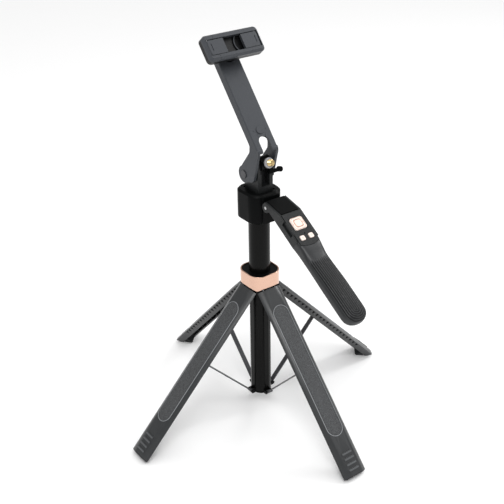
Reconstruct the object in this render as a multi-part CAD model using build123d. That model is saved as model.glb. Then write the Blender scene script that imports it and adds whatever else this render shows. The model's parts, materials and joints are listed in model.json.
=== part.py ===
from build123d import *
from math import cos, radians, sin, sqrt
import os

# Four-legged selfie-stick stand, standing open with its telescopic mast pushed in.
# Millimetres, +Z up, origin on the mast's axis at the floor, front towards -Y.
# Legs point to -X, -Y, +X and +Y; the handle hangs out to the front and the arm leans to the back.

# --- Driving sizes -----------------------------------------------------------------------------
# Mast and telescopic sections
MAST_OD = 22.0
MAST_WALL = 0.8
MAST_LENGTH = 218.5
MAST_FOOT_DROP = 3.6
MAST_PLUG_T = 4.0
MAST_PLUG_BEVEL = 1.5
GROOVE_W = 6.4
GROOVE_DEPTH = 0.35
GROOVE_BELOW_HINGE = 4.8
SECTION_COUNT = 4
SECTION_WALL = 0.7
SECTION_GAP = 0.6
SECTION_BASE_UP = 8.9
SECTION_BASE_STEP = 1.0
SECTION_STEP_Z = 1.2
SECTION_CRIMP = 3.0
BUSHING_LENGTH = 14.0

# General clearances
RUN_FIT = 0.05
BODY_GAP = 0.4
MITRE_GAP = 0.2

# Leg set
BUNDLE_HALF = 18.0
BUNDLE_CORNER = 13.0
LEG_LENGTH = 205.0
LEG_WALL = 1.5
LEG_SIDE_WALL = 1.8
LEG_ANGLE = 43.4
LEG_PIN_R = 1.0
LEG_TOP_DROP = 1.34
LEG_EAR_R = 2.3
KNUCKLE_HALF = 3.1
EAR_W = 2.8
FOLD_TRAVEL = 49.7
FOOT_R = 6.0
FOOT_CENTRE_R = 12.6
FOOT_CENTRE_UP = 5.0
FOOT_LENGTH = 20.0
FOOT_FLAT = 0.4
TIP_CLEAR = 0.6
RIB_PITCH = 15.0
RIB_T = 1.2
RIB_NOTCH_HALF = 5.4
TOOTH_PITCH = 7.5
TOOTH_SIZE = 4.4
TOOTH_TOP = 12.0
TOOTH_AT = 0.66
TOOTH_COUNT = 22
PAD_TOP = 20.0
PAD_LENGTH = 142.0
PAD_W = 17.0
PAD_RECESS = 0.6
PAD_PROUD = 0.15
GRIP_BAR_COUNT = 4
GRIP_BAR_PITCH = 5.6
GRIP_BAR_W = 13.0
GRIP_BAR_T = 2.8
GRIP_BAR_PROUD = 0.6
GRIP_BAR_FROM_TIP = 6.5

# Struts
STRUT_W = 5.0
STRUT_T = 1.2
STRUT_EYE_R = 1.9
STRUT_PIN_R = 1.0
STRUT_EYE_W = 5.0
STRUT_EAR_R = 1.9
STRUT_EAR_T = 1.2

# Hub and ring
RING_T = 1.2
RING_HEIGHT = 14.3
RING_SKIRT = 3.1
RING_ARCH_HALF = 8.6
RING_GAP = 0.15
HUB_RECESS = 1.0
HUB_ABOVE_PIN = 3.9

# Collar on the top section
COLLAR_HALF = 18.6
COLLAR_CORNER = 12.0
COLLAR_OVERLAP = 4.5
COLLAR_HEIGHT = 31.0
COLLAR_BEVEL = 2.0
COLLAR_FOOT_BEVEL = 1.0
COLLAR_SOCKET = 6.0
COLLAR_PAD_T = 2.2
COLLAR_POCKET_R = 11.6
COLLAR_POCKET_H = 12.0
COLLAR_MOAT_W = 1.6
COLLAR_MOAT_DEPTH = 2.2

# Bracket block and arm hinge
BLOCK_HALF_X = 9.0
BLOCK_FRONT_Y = -11.3
BLOCK_BACK_Y = 10.4
BLOCK_HEIGHT = 22.5
BLOCK_CAVITY_HALF = 4.9
BLOCK_CAVITY_FLOOR = 5.3
BLOCK_CAVITY_D = 7.0
ARM_PIN_Y = 7.4
ARM_PIN_UP = 14.8
ARM_PIN_R = 3.0
ARM_CAP_R = 4.0
ARM_CAP_T = 0.9

# Arm
ARM_LEAN = 40.1
ARM_HALF_W = 12.2
ARM_CHEEK_T = 2.8
ARM_FACE = 36.8
ARM_DEPTH = 8.4
ARM_WALL = 2.0
ARM_END = 123.0
ARM_EAR_R = 8.8
ARM_BEND_R = 6.0
ARM_INSIDE_R = 4.0
SLOT_HALF_W = 5.7
SLOT_TOP = 22.5
ARM_BUTTON_R = 3.8
ARM_BUTTON_AT = 28.6
ARM_DOT_R = 0.5
ARM_DOT_X = 7.2

# Camera screw on its tilting barrel
BARREL_Y = -7.5
BARREL_UP = 28.5
BARREL_R = 7.0
BARREL_HALF = 6.0
BARREL_PIN_R = 1.5
BARREL_EAR_T = 2.6
SCREW_TILT = 18.0
SCREW_RING_R = 5.2
SCREW_RING_T = 2.4
SCREW_RING_OUT = 11.0
SCREW_R = 3.175
SCREW_OUT = 5.0
SCREW_SHANK_R = 2.4
SCREW_TIP_BEVEL = 0.6
STUD_RELIEF = 0.3
SCREW_GRIP = 3.4
TAB_X = 16.5
TAB_R = 2.7
TAB_T = 3.4
TAB_Y = -5.6
TAB_Z = -9.3
TAB_ROOT_X = 1.0

# Phone clamp
CLAMP_AT = 110.9
CLAMP_FACE = 20.0
CLAMP_W = 63.0
CLAMP_H = 26.0
CLAMP_T = 9.5
CLAMP_CORNER = 4.0
CLAMP_BEVEL = 2.2
WINDOW_W = 58.4
WINDOW_H = 16.0
WINDOW_DEPTH = 7.0
SPLIT_AT = -20.5
SPLIT_GAP = 0.3
CLAMP_TRAVEL = 34.0
JAW_L = 17.0
JAW_H = 14.8
JAW_T = 3.0
JAW_PIN_R = 0.8
JAW_PIN_IN = 2.0
ROD_R = 1.2
ROD_SPREAD = 10.2
SPRING_R = 1.4
SPRING_AT = 6.2
SPRING_WIRE_R = 0.3
SPRING_TURNS = 14
BACK_W = 34.0
BACK_H = 21.0
BACK_T = 4.6
SWIVEL_R = 11.0
SWIVEL_T = 3.4
SWIVEL_SHAFT_R = 2.5
SWIVEL_NUT_R = 4.2
SWIVEL_NUT_T = 1.6

# Handle and remote
HANDLE_PIN_OUT = 9.3
HANDLE_PIN_DROP = 8.4
HANDLE_PIN_R = 1.5
LUG_R = 4.2
LUG_TOP = 2.0
HANDLE_ANGLE = 57.5
HANDLE_HALF_W = 13.0
HANDLE_CHEEK_T = 2.6
HANDLE_EAR_R = 4.8
HANDLE_LENGTH = 143.0
HANDLE_LOW = -1.4
HANDLE_PANEL = 12.5
HOOD_START = -4.3
HOOD_START_Q = 4.8
HOOD_END = 17.8
HOOD_T = 2.3
GRIP_START = 50.0
GRIP_LOW = -2.2
GRIP_HIGH = 13.2
GRIP_EDGE_R = 6.2
CORE_HALF_W = 8.0
CORE_LOW = 2.0
CORE_HIGH = 9.0
CORE_END = 134.0
REMOTE_START = 18.6
REMOTE_END = 57.0
REMOTE_HALF_W = 11.2
REMOTE_DEPTH = 7.0
BOW_R = 24.0
REMOTE_WALL = 1.2
REMOTE_LIFT = 12.0
NOTCH_FROM = 26.0
NOTCH_TO = 42.0
NOTCH_DEPTH = 5.0
NAV_AT = 32.2
NAV_W = 14.4
NAV_L = 13.6
NAV_PROUD = 0.9
OK_HALF = 3.7
OK_CORNER = 2.2
OK_PROUD = 1.3
KEY_AT = 48.0
KEY_X = 5.0
KEY_SIZE = 5.2
KEY_PROUD = 0.8
KEY_GAP = 0.15
KEY_STEM = 2.2
LED_R = 0.5
LED_AT = 43.6
CELL_R = 8.0
CELL_T = 1.6
BOARD_T = 0.7

# --- Worked-out sizes --------------------------------------------------------------------------
LEAN = radians(LEG_ANGLE)
HINGE_R = (MAST_OD / 2 + BUNDLE_HALF - LEG_WALL) / 2 + 0.15
STRUT_LENGTH = FOLD_TRAVEL / (2 * (1 - cos(LEAN)))
FOOT_DOWN = LEG_TOP_DROP + LEG_LENGTH - FOOT_CENTRE_UP
FOOT_IN = FOOT_CENTRE_R - HINGE_R
HINGE_Z = FOOT_R - FOOT_FLAT + FOOT_DOWN * cos(LEAN) - FOOT_IN * sin(LEAN)
LEG_TOP_Z = HINGE_Z - LEG_TOP_DROP
STRUT_FOOT_Z = HINGE_Z - 2 * STRUT_LENGTH * cos(LEAN)
RING_BOTTOM_Z = HINGE_Z + HUB_ABOVE_PIN - RING_SKIRT
RING_TOP_Z = HINGE_Z + HUB_ABOVE_PIN + RING_HEIGHT
MAST_BOTTOM_Z = STRUT_FOOT_Z - MAST_FOOT_DROP
MAST_TOP_Z = MAST_BOTTOM_Z + MAST_LENGTH
GROOVE_TOP_Z = HINGE_Z - GROOVE_BELOW_HINGE
SECTION_BASE_Z = MAST_BOTTOM_Z + SECTION_BASE_UP
COLLAR_BOTTOM_Z = MAST_TOP_Z - COLLAR_OVERLAP
COLLAR_TOP_Z = COLLAR_BOTTOM_Z + COLLAR_HEIGHT
BLOCK_TOP_Z = COLLAR_TOP_Z + BLOCK_HEIGHT
BLOCK_CAVITY_Z = COLLAR_TOP_Z + BLOCK_CAVITY_FLOOR
ARM_PIN_Z = COLLAR_TOP_Z + ARM_PIN_UP
BARREL_Z = COLLAR_TOP_Z + BARREL_UP
HANDLE_PIN_Y = -COLLAR_HALF - HANDLE_PIN_OUT
HANDLE_PIN_Z = COLLAR_TOP_Z - HANDLE_PIN_DROP
QUARTERS = {"left": 180, "front": 270, "right": 0, "back": 90}
ARM_ANGLE = radians(ARM_LEAN)


def export(shape, name):
    """Write one node."""
    export_step(shape, "parts/" + name + ".step")


def rod_x(radius, length, y=0.0, z=0.0, x=0.0):
    """Cylinder along X, centred at (x, y, z)."""
    return Pos(x, y, z) * Rot(0, 90, 0) * Cylinder(radius, length)


def rod_y(radius, length, x=0.0, y=0.0, z=0.0):
    """Cylinder along Y, centred at (x, y, z)."""
    return Pos(x, y, z) * Rot(90, 0, 0) * Cylinder(radius, length)


def box_between(low, high):
    """Box from its lowest to its highest corner."""
    size = [b - a for a, b in zip(low, high)]
    middle = [(a + b) / 2 for a, b in zip(low, high)]
    return Pos(*middle) * Box(*size)


def side_plate(points, half_width):
    """Outline in the YZ plane, extruded to both sides of X = 0."""
    outline = Plane.YZ * make_face(Polyline(*points, close=True))
    return extrude(outline, amount=half_width, both=True)


def post(radius, low, high):
    """Cylinder along Z, round the mast's axis."""
    return Pos(0, 0, (low + high) / 2) * Cylinder(radius, high - low)


def tube(outer_r, inner_r, low, high):
    """Round tube along Z, round the mast's axis."""
    return post(outer_r, low, high) - post(inner_r, low, high)


def squircle(half, corner, low, high):
    """Rounded square prism along Z, round the mast's axis."""
    return Pos(0, 0, low) * extrude(RectangleRounded(2 * half, 2 * half, corner), amount=high - low)


def quadrant(shape, name):
    """Turn a piece built towards +X to its own leg direction."""
    return shape.rotate(Axis.Z, QUARTERS[name])


# --- Hub, ring and hinge pins ------------------------------------------------------------------
def arch_cutters():
    """Flared prisms over each leg, which leave the hub's and ring's corners hanging lower."""
    rise = HUB_ABOVE_PIN + HINGE_Z
    wide = BUNDLE_HALF - COLLAR_BEVEL
    points = [(-wide, RING_BOTTOM_Z - 1), (-wide, RING_BOTTOM_Z), (-RING_ARCH_HALF, rise),
              (RING_ARCH_HALF, rise), (wide, RING_BOTTOM_Z), (wide, RING_BOTTOM_Z - 1)]
    along_x = side_plate(points, 2 * BUNDLE_HALF)
    return [along_x, along_x.rotate(Axis.Z, 90)]


def hub_ring():
    ring = squircle(BUNDLE_HALF, BUNDLE_CORNER, RING_BOTTOM_Z, RING_TOP_Z)
    ring = fillet(ring.faces().sort_by(Axis.Z)[-1].edges(), RING_T / 3)
    inner_half = BUNDLE_HALF - RING_T
    ring -= squircle(inner_half, BUNDLE_CORNER - RING_T, RING_BOTTOM_Z - 1, RING_TOP_Z + 1)
    for cutter in arch_cutters():
        ring -= cutter
    return ring


def hub_core():
    """Guide for the mast, with a pair of hinge ears over each leg."""
    half = BUNDLE_HALF - RING_T - RING_GAP
    core = squircle(half, BUNDLE_CORNER - RING_T - RING_GAP, RING_BOTTOM_Z, RING_TOP_Z - HUB_RECESS)
    for cutter in arch_cutters():
        core -= cutter
    ear_low = KNUCKLE_HALF + BODY_GAP / 2
    for name in QUARTERS:
        for side in (-1, 1):
            middle = side * (ear_low + EAR_W / 2)
            ear = rod_y(LEG_EAR_R, EAR_W, HINGE_R, middle, HINGE_Z)
            stem_top = HINGE_Z + HUB_ABOVE_PIN + 0.5
            ear += box_between((HINGE_R - LEG_EAR_R, middle - EAR_W / 2, HINGE_Z),
                               (HINGE_R + LEG_EAR_R, middle + EAR_W / 2, stem_top))
            ear -= rod_y(LEG_PIN_R, 2 * EAR_W, HINGE_R, middle, HINGE_Z)
            core += quadrant(ear, name)
    core -= Pos(0, 0, HINGE_Z) * Cylinder(MAST_OD / 2 + RUN_FIT, 4 * RING_HEIGHT)
    return core


def leg_hinge_pins():
    length = 2 * (KNUCKLE_HALF + BODY_GAP / 2 + EAR_W)
    pin = rod_y(LEG_PIN_R, length, HINGE_R, 0, HINGE_Z)
    return Compound(children=[quadrant(pin, name) for name in QUARTERS])


# --- Mast and telescopic sections --------------------------------------------------------------
def section_radius(index):
    """Outer radius of the tube at this place in the telescope; 0 is the mast tube."""
    if index == 0:
        return MAST_OD / 2
    wall = MAST_WALL if index == 1 else SECTION_WALL
    return section_radius(index - 1) - wall - SECTION_GAP


def mast_tube():
    next_r = section_radius(1)
    body = tube(MAST_OD / 2, MAST_OD / 2 - MAST_WALL, MAST_BOTTOM_Z + MAST_PLUG_T, MAST_TOP_Z)
    lip = tube(MAST_OD / 2 - MAST_WALL, next_r + RUN_FIT, MAST_TOP_Z - SECTION_CRIMP, MAST_TOP_Z)
    body += lip
    for name in QUARTERS:
        groove = box_between((MAST_OD / 2 - GROOVE_DEPTH, -GROOVE_W / 2, 0),
                             (MAST_OD, GROOVE_W / 2, GROOVE_TOP_Z))
        body -= quadrant(groove, name)
    return body


def mast_foot():
    """End plug with four pairs of ears that hold the struts' lower eyes between them."""
    inner = MAST_OD / 2 - MAST_WALL
    plug = Pos(0, 0, MAST_BOTTOM_Z + MAST_PLUG_T / 2) * Cylinder(MAST_OD / 2, MAST_PLUG_T)
    plug = chamfer(plug.faces().sort_by(Axis.Z)[0].edges(), MAST_PLUG_BEVEL)
    plug += Pos(0, 0, MAST_BOTTOM_Z + 1.5 * MAST_PLUG_T) * Cylinder(inner, MAST_PLUG_T)
    low = STRUT_EYE_W / 2 + BODY_GAP
    for name in QUARTERS:
        for side in (-1, 1):
            middle = side * (low + STRUT_EAR_T / 2)
            ear = rod_y(STRUT_EAR_R, STRUT_EAR_T, HINGE_R, middle, STRUT_FOOT_Z)
            ear += box_between((MAST_OD / 2 - STRUT_EAR_T, middle - STRUT_EAR_T / 2, MAST_BOTTOM_Z + MAST_PLUG_BEVEL),
                               (HINGE_R, middle + STRUT_EAR_T / 2, STRUT_FOOT_Z + STRUT_EAR_R))
            plug += quadrant(ear, name)
    return plug - tube(MAST_OD / 2, inner, MAST_BOTTOM_Z + MAST_PLUG_T, MAST_TOP_Z)


def section_base(index):
    return SECTION_BASE_Z + index * SECTION_BASE_STEP


def section_top(index):
    return MAST_TOP_Z + index * SECTION_STEP_Z


def section_tube(index):
    outer = section_radius(index)
    low = section_base(index)
    top = section_top(index) if index < SECTION_COUNT else COLLAR_TOP_Z - COLLAR_SOCKET
    body = tube(outer, outer - SECTION_WALL, low, top)
    if index < SECTION_COUNT:
        body += tube(outer - SECTION_WALL, section_radius(index + 1) + RUN_FIT, top - SECTION_CRIMP, top)
    return body


def guide_bushing(index):
    """Plastic sleeve on the foot of a section, which slides in the tube outside it."""
    outer = section_radius(index) + SECTION_GAP - RUN_FIT
    low = section_base(index)
    return tube(outer, section_radius(index), low, low + BUSHING_LENGTH)


# --- Legs, feet, pads and struts ---------------------------------------------------------------
def open_leg(shape, name):
    """Swing a piece, built folded and pointing at +X, out to the open stop."""
    hinge = Axis((HINGE_R, 0, HINGE_Z), (0, 1, 0))
    return quadrant(shape.rotate(hinge, -LEG_ANGLE), name)


def floor_seen_folded(up):
    """Room below a level cut, up above the floor, turned to meet a leg still folded."""
    hinge = Axis((HINGE_R, 0, HINGE_Z), (0, 1, 0))
    room = box_between((0, -BUNDLE_HALF, -2 * FOOT_R), (LEG_LENGTH, BUNDLE_HALF, up))
    return room.rotate(hinge, LEG_ANGLE)


def wedge(back_off, low, high):
    """Quarter wedge round +X, its two faces moved in by back_off."""
    tip = back_off * sqrt(2)
    far = 3 * BUNDLE_HALF
    points = [(tip, 0), (far, far - tip), (far, tip - far)]
    return Pos(0, 0, low) * extrude(make_face(Polyline(*points, close=True)), amount=high - low)


def leg_skin(offset, low, high):
    """Rounded-square outside of the leg bundle, grown by offset."""
    return squircle(BUNDLE_HALF + offset, BUNDLE_CORNER + offset, low, high)


def pad_stadium(grow):
    """Stadium prism that cuts the inlay out of the leg's outer face."""
    length = PAD_LENGTH + 2 * grow
    width = PAD_W + 2 * grow
    middle = LEG_TOP_Z - PAD_TOP - PAD_LENGTH / 2
    outline = Plane.YZ * (Pos(0, middle) * SlotOverall(length, width, rotation=90))
    return extrude(outline, amount=2 * BUNDLE_HALF)


def leg_shell():
    """Channel-shaped leg, folded: a quarter of the bundle, open towards the mast."""
    low = LEG_TOP_Z - LEG_LENGTH
    shell = leg_skin(0, low, LEG_TOP_Z) & wedge(MITRE_GAP, low, LEG_TOP_Z)
    shell -= Pos(0, 0, (low + LEG_TOP_Z) / 2) * Cylinder(MAST_OD / 2 + BODY_GAP, LEG_LENGTH + 2)
    hollow = leg_skin(-LEG_WALL, low - 1, LEG_TOP_Z + 1) & wedge(MITRE_GAP + LEG_SIDE_WALL, low - 1, LEG_TOP_Z + 1)
    ribs = []
    rib_z = LEG_TOP_Z - RIB_PITCH
    while rib_z > low + FOOT_LENGTH + RIB_T:
        plate = hollow & box_between((0, -BUNDLE_HALF, rib_z - RIB_T), (BUNDLE_HALF, BUNDLE_HALF, rib_z))
        plate -= box_between((0, -RIB_NOTCH_HALF, rib_z - 2 * RIB_T), (BUNDLE_HALF, RIB_NOTCH_HALF, rib_z + RIB_T))
        plate -= Pos(0, 0, rib_z) * Cylinder(MAST_OD / 2 + 2.0, 2 * RING_HEIGHT)
        ribs.append(plate)
        rib_z -= RIB_PITCH
    shell -= hollow
    for rib in ribs:
        shell += rib
    strut_z = HINGE_Z - STRUT_LENGTH
    shell += rod_y(STRUT_PIN_R, 2 * BUNDLE_HALF, HINGE_R, 0, strut_z) & hollow
    shell += leg_knuckle()
    shell -= pad_stadium(0) & (leg_skin(2, low, LEG_TOP_Z) - leg_skin(-PAD_RECESS, low, LEG_TOP_Z))
    return shell - leg_teeth()


def leg_knuckle():
    """Hinge tongue at the leg's top, between the hub's ears."""
    reach = BUNDLE_HALF - LEG_WALL + 0.2
    points = [(HINGE_R - 1.2, HINGE_Z), (HINGE_R + 1.2, HINGE_Z), (reach, LEG_TOP_Z),
              (reach, LEG_TOP_Z - 12.0), (HINGE_R - 1.2, LEG_TOP_Z - 4.0)]
    outline = Plane.XZ * make_face(Polyline(*points, close=True))
    tongue = extrude(outline, amount=KNUCKLE_HALF, both=True)
    tongue += rod_y(LEG_EAR_R, 2 * KNUCKLE_HALF, HINGE_R, 0, HINGE_Z)
    return tongue - rod_y(LEG_PIN_R + RUN_FIT, 4 * KNUCKLE_HALF, HINGE_R, 0, HINGE_Z)


def leg_teeth():
    """Row of triangular openings through both mitred side walls."""
    half = TOOTH_SIZE / 2
    first = LEG_TOP_Z - TOOTH_TOP
    pockets = []
    for index in range(TOOTH_COUNT):
        z = first - index * TOOTH_PITCH
        for side in (-1, 1):
            points = [(-half, -half), (half, -half), (half, half)]
            outline = Plane.XZ * make_face(Polyline(*points, close=True))
            pocket = extrude(outline, amount=MITRE_GAP + LEG_SIDE_WALL + BODY_GAP, both=True)
            middle = BUNDLE_HALF * TOOTH_AT
            pockets.append(Pos(middle, side * middle, z) * Rot(0, 0, side * 45) * pocket)
    return pockets


def leg_pad():
    low = LEG_TOP_Z - LEG_LENGTH
    skin = leg_skin(PAD_PROUD, low, LEG_TOP_Z) - leg_skin(-PAD_RECESS, low, LEG_TOP_Z)
    return skin & pad_stadium(-0.1) & wedge(MITRE_GAP, low, LEG_TOP_Z)


def leg_foot():
    """Rubber plug in the tip, with the round heel that meets the floor and bars on its back."""
    low = LEG_TOP_Z - LEG_LENGTH
    top = low + FOOT_LENGTH
    plug = leg_skin(-LEG_WALL, low, top) & wedge(MITRE_GAP + LEG_SIDE_WALL, low, top)
    plug -= Pos(0, 0, top) * Cylinder(HINGE_R + 1.0, 2 * (FOOT_LENGTH - 2 * FOOT_CENTRE_UP))
    heel = rod_y(FOOT_R, 2 * BUNDLE_HALF, FOOT_CENTRE_R, 0, low + FOOT_CENTRE_UP)
    heel &= wedge(MITRE_GAP + LEG_SIDE_WALL, low - FOOT_R, top)
    heel &= leg_skin(-LEG_WALL, low - FOOT_R, top)
    return plug + heel


def leg_bars():
    """Raised grip bars across the leg's outer face near the tip."""
    bars = []
    low = LEG_TOP_Z - LEG_LENGTH + GRIP_BAR_FROM_TIP
    skin = leg_skin(GRIP_BAR_PROUD, low - 5, LEG_TOP_Z) - leg_skin(-0.2, low - 5, LEG_TOP_Z)
    for index in range(GRIP_BAR_COUNT):
        z = low + index * GRIP_BAR_PITCH
        outline = Plane.YZ * (Pos(0, z) * SlotOverall(GRIP_BAR_W, GRIP_BAR_T))
        bars.append(extrude(outline, amount=2 * BUNDLE_HALF) & skin)
    return bars


def strut(name):
    """Flat link from the leg's cross pin to the mast's foot, as it lies with the stand open."""
    top = (HINGE_R, 0, HINGE_Z - STRUT_LENGTH)
    strip = box_between((HINGE_R - STRUT_T / 2, -STRUT_W / 2, top[2] - STRUT_LENGTH),
                        (HINGE_R + STRUT_T / 2, STRUT_W / 2, top[2]))
    strip += rod_y(STRUT_EYE_R, STRUT_W, *top)
    strip += rod_y(STRUT_EYE_R, STRUT_EYE_W, HINGE_R, 0, top[2] - STRUT_LENGTH)
    strip -= rod_y(STRUT_PIN_R + RUN_FIT, 2 * STRUT_W, *top)
    # The folded strut hangs in line with the leg; open, it leans back in by twice the leg's angle.
    strip = strip.rotate(Axis(top, (0, 1, 0)), 2 * LEG_ANGLE)
    return open_leg(strip, name)


# --- Collar and bracket block ------------------------------------------------------------------
def collar():
    body = squircle(COLLAR_HALF, COLLAR_CORNER, COLLAR_BOTTOM_Z, COLLAR_TOP_Z)
    body = chamfer(body.faces().sort_by(Axis.Z)[-1].edges(), COLLAR_BEVEL)
    body = chamfer(body.faces().sort_by(Axis.Z)[0].edges(), COLLAR_FOOT_BEVEL)
    tongue_half = HANDLE_HALF_W - HANDLE_CHEEK_T - BODY_GAP
    pad = box_between((-tongue_half, -COLLAR_HALF - COLLAR_PAD_T, COLLAR_BOTTOM_Z + COLLAR_FOOT_BEVEL),
                      (tongue_half, -COLLAR_HALF + COLLAR_BEVEL, COLLAR_TOP_Z - COLLAR_BEVEL))
    lug = box_between((-tongue_half, HANDLE_PIN_Y, HANDLE_PIN_Z - LUG_R),
                      (tongue_half, -COLLAR_HALF, HANDLE_PIN_Z + LUG_TOP))
    lug += rod_x(LUG_R, 2 * tongue_half, HANDLE_PIN_Y, HANDLE_PIN_Z)
    body += pad
    body += lug
    body -= rod_x(HANDLE_PIN_R, 4 * tongue_half, HANDLE_PIN_Y, HANDLE_PIN_Z)
    body -= Pos(0, 0, COLLAR_BOTTOM_Z) * Cylinder(COLLAR_POCKET_R, 2 * COLLAR_POCKET_H)
    body -= post(section_radius(SECTION_COUNT), COLLAR_BOTTOM_Z - 1, COLLAR_TOP_Z - COLLAR_SOCKET)
    moat_low = COLLAR_TOP_Z - COLLAR_MOAT_DEPTH
    return body - box_between((-BLOCK_HALF_X - COLLAR_MOAT_W, BLOCK_FRONT_Y - COLLAR_MOAT_W, moat_low),
                              (BLOCK_HALF_X + COLLAR_MOAT_W, BLOCK_BACK_Y + COLLAR_MOAT_W, COLLAR_TOP_Z + 1))


def bracket_block():
    """Fork on the collar: holds the arm's pin at the back and the camera barrel in front."""
    base_z = COLLAR_TOP_Z - COLLAR_MOAT_DEPTH
    block = box_between((-BLOCK_HALF_X, BLOCK_FRONT_Y, base_z), (BLOCK_HALF_X, BLOCK_BACK_Y, ARM_PIN_Z))
    block += rod_x(BLOCK_BACK_Y - ARM_PIN_Y + 4.5, 2 * BLOCK_HALF_X, ARM_PIN_Y, ARM_PIN_Z)
    block += box_between((-BLOCK_HALF_X, BLOCK_FRONT_Y, ARM_PIN_Z),
                         (BLOCK_HALF_X, ARM_PIN_Y - 6.5, BLOCK_TOP_Z))
    block &= box_between((-BLOCK_HALF_X, BLOCK_FRONT_Y, base_z), (BLOCK_HALF_X, 2 * BLOCK_HALF_X, BLOCK_TOP_Z))
    # Barrel saddle between two ears
    ear_inner = BARREL_HALF + BODY_GAP / 2
    for side in (-1, 1):
        ear_middle = side * (ear_inner + BLOCK_HALF_X) / 2
        block += rod_x(BARREL_PIN_R + 2.4, BLOCK_HALF_X - ear_inner, BARREL_Y, BARREL_Z, ear_middle)
        low_x, high_x = sorted((side * ear_inner, side * BLOCK_HALF_X))
        block += box_between((low_x, BARREL_Y - 3.8, BLOCK_TOP_Z - 4), (high_x, BARREL_Y + 3.9, BARREL_Z))
    block -= rod_x(BARREL_R + BODY_GAP, 2 * ear_inner, BARREL_Y, BARREL_Z)
    block -= box_between((-ear_inner, BLOCK_FRONT_Y - 9, BARREL_Z - 9.8), (ear_inner, BARREL_Y, BARREL_Z))
    block -= rod_x(BARREL_PIN_R, 4 * BLOCK_HALF_X, BARREL_Y, BARREL_Z)
    block -= box_between((-BLOCK_CAVITY_HALF, BLOCK_FRONT_Y - 1, BLOCK_CAVITY_Z),
                         (BLOCK_CAVITY_HALF, BLOCK_FRONT_Y + BLOCK_CAVITY_D, BLOCK_TOP_Z + 1))
    block -= rod_x(ARM_PIN_R, 4 * BLOCK_HALF_X, ARM_PIN_Y, ARM_PIN_Z)
    return block


def arm_pin():
    """Hinge pin with a round cap outside each of the arm's cheeks."""
    cap_x = ARM_HALF_W + RUN_FIT + ARM_CAP_T / 2
    pin = rod_x(ARM_PIN_R, 2 * ARM_HALF_W + 2 * RUN_FIT, ARM_PIN_Y, ARM_PIN_Z)
    for side in (-1, 1):
        cap = rod_x(ARM_CAP_R, ARM_CAP_T, ARM_PIN_Y, ARM_PIN_Z, side * cap_x)
        pin += cap
    return pin


# --- Arm ---------------------------------------------------------------------------------------
def lean_arm(shape):
    """Place a piece built with the arm upright and its pivot at the origin."""
    return Pos(0, ARM_PIN_Y, ARM_PIN_Z) * Rot(-ARM_LEAN, 0, 0) * shape


def arm_outline():
    """Side view of the arm, upright, pivot at the origin: ear, bent neck and straight part."""
    face = -ARM_FACE
    back = -ARM_FACE + ARM_DEPTH
    points = [(-2.0, 8.6), (back + 4.5, 13.6), (back, 18.5), (back, ARM_END), (face, ARM_END),
              (face, 6.4), (-22.6, -3.6), (-11.2, -11.6), (-7.2, -12.0), (0, -8.6)]
    plate = make_face(Polyline(*points, close=True))
    for corner, radius in ((points[1], ARM_INSIDE_R), (points[2], ARM_INSIDE_R), (points[5], ARM_BEND_R),
                           (points[6], ARM_BEND_R)):
        at = [v for v in plate.vertices() if abs(v.X - corner[0]) + abs(v.Y - corner[1]) < 0.01]
        plate = fillet(at, radius)
    return plate + Circle(ARM_EAR_R)


def arm_channel():
    outer = extrude(Plane.YZ * arm_outline(), amount=ARM_HALF_W, both=True)
    inner_half = ARM_HALF_W - ARM_CHEEK_T
    wall = -ARM_FACE + ARM_WALL
    # Hollow behind the front wall, open at the back; below the bend only the two cheeks are left.
    points = [(wall, ARM_END - ARM_WALL), (2 * ARM_FACE, ARM_END - ARM_WALL), (2 * ARM_FACE, -ARM_FACE),
              (-2 * ARM_FACE, -ARM_FACE), (-2 * ARM_FACE, 4.2), (wall + 1.6, 6.4), (wall, 9.0)]
    arm = outer - side_plate(points, inner_half)
    slot = box_between((-SLOT_HALF_W, -ARM_FACE - 1, 0), (SLOT_HALF_W, wall + 3.0, SLOT_TOP - SLOT_HALF_W))
    slot += rod_y(SLOT_HALF_W, 2 * ARM_WALL + 4.0, 0, -ARM_FACE, SLOT_TOP - SLOT_HALF_W)
    arm -= slot
    arm -= rod_x(ARM_PIN_R + RUN_FIT, 4 * ARM_HALF_W)
    arm -= rod_y(ARM_BUTTON_R - 1.0, 4 * ARM_WALL, 0, -ARM_FACE, ARM_BUTTON_AT)
    for side in (-1, 1):
        arm -= rod_y(ARM_DOT_R, 1.0, side * ARM_DOT_X, -ARM_FACE, ARM_BUTTON_AT)
    arm -= rod_y(SWIVEL_SHAFT_R + RUN_FIT, 4 * ARM_WALL, 0, -ARM_FACE, CLAMP_AT)
    arm -= arm_edge_breaks()
    return lean_arm(arm)


def arm_edge_breaks():
    """Small bevels on the long front edges of the straight part."""
    cutters = []
    for side in (-1, 1):
        bar = Box(1.4, 1.4, 2 * ARM_END)
        cutters.append(Pos(side * ARM_HALF_W, -ARM_FACE, ARM_END + 10.0) * Rot(0, 0, 45) * bar)
    return cutters


def arm_button():
    cap = rod_y(ARM_BUTTON_R, 0.9, 0, -ARM_FACE - 0.45, ARM_BUTTON_AT)
    cap = fillet(cap.edges(), 0.3)
    return lean_arm(cap + rod_y(ARM_BUTTON_R - 1.0, ARM_WALL, 0, -ARM_FACE + ARM_WALL / 2, ARM_BUTTON_AT))


# --- Camera screw ------------------------------------------------------------------------------
def tip_screw(shape):
    """Place a piece built round the barrel's centre, with the screw pointing at -Y."""
    return Pos(0, BARREL_Y, BARREL_Z) * Rot(-SCREW_TILT, 0, 0) * shape


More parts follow.
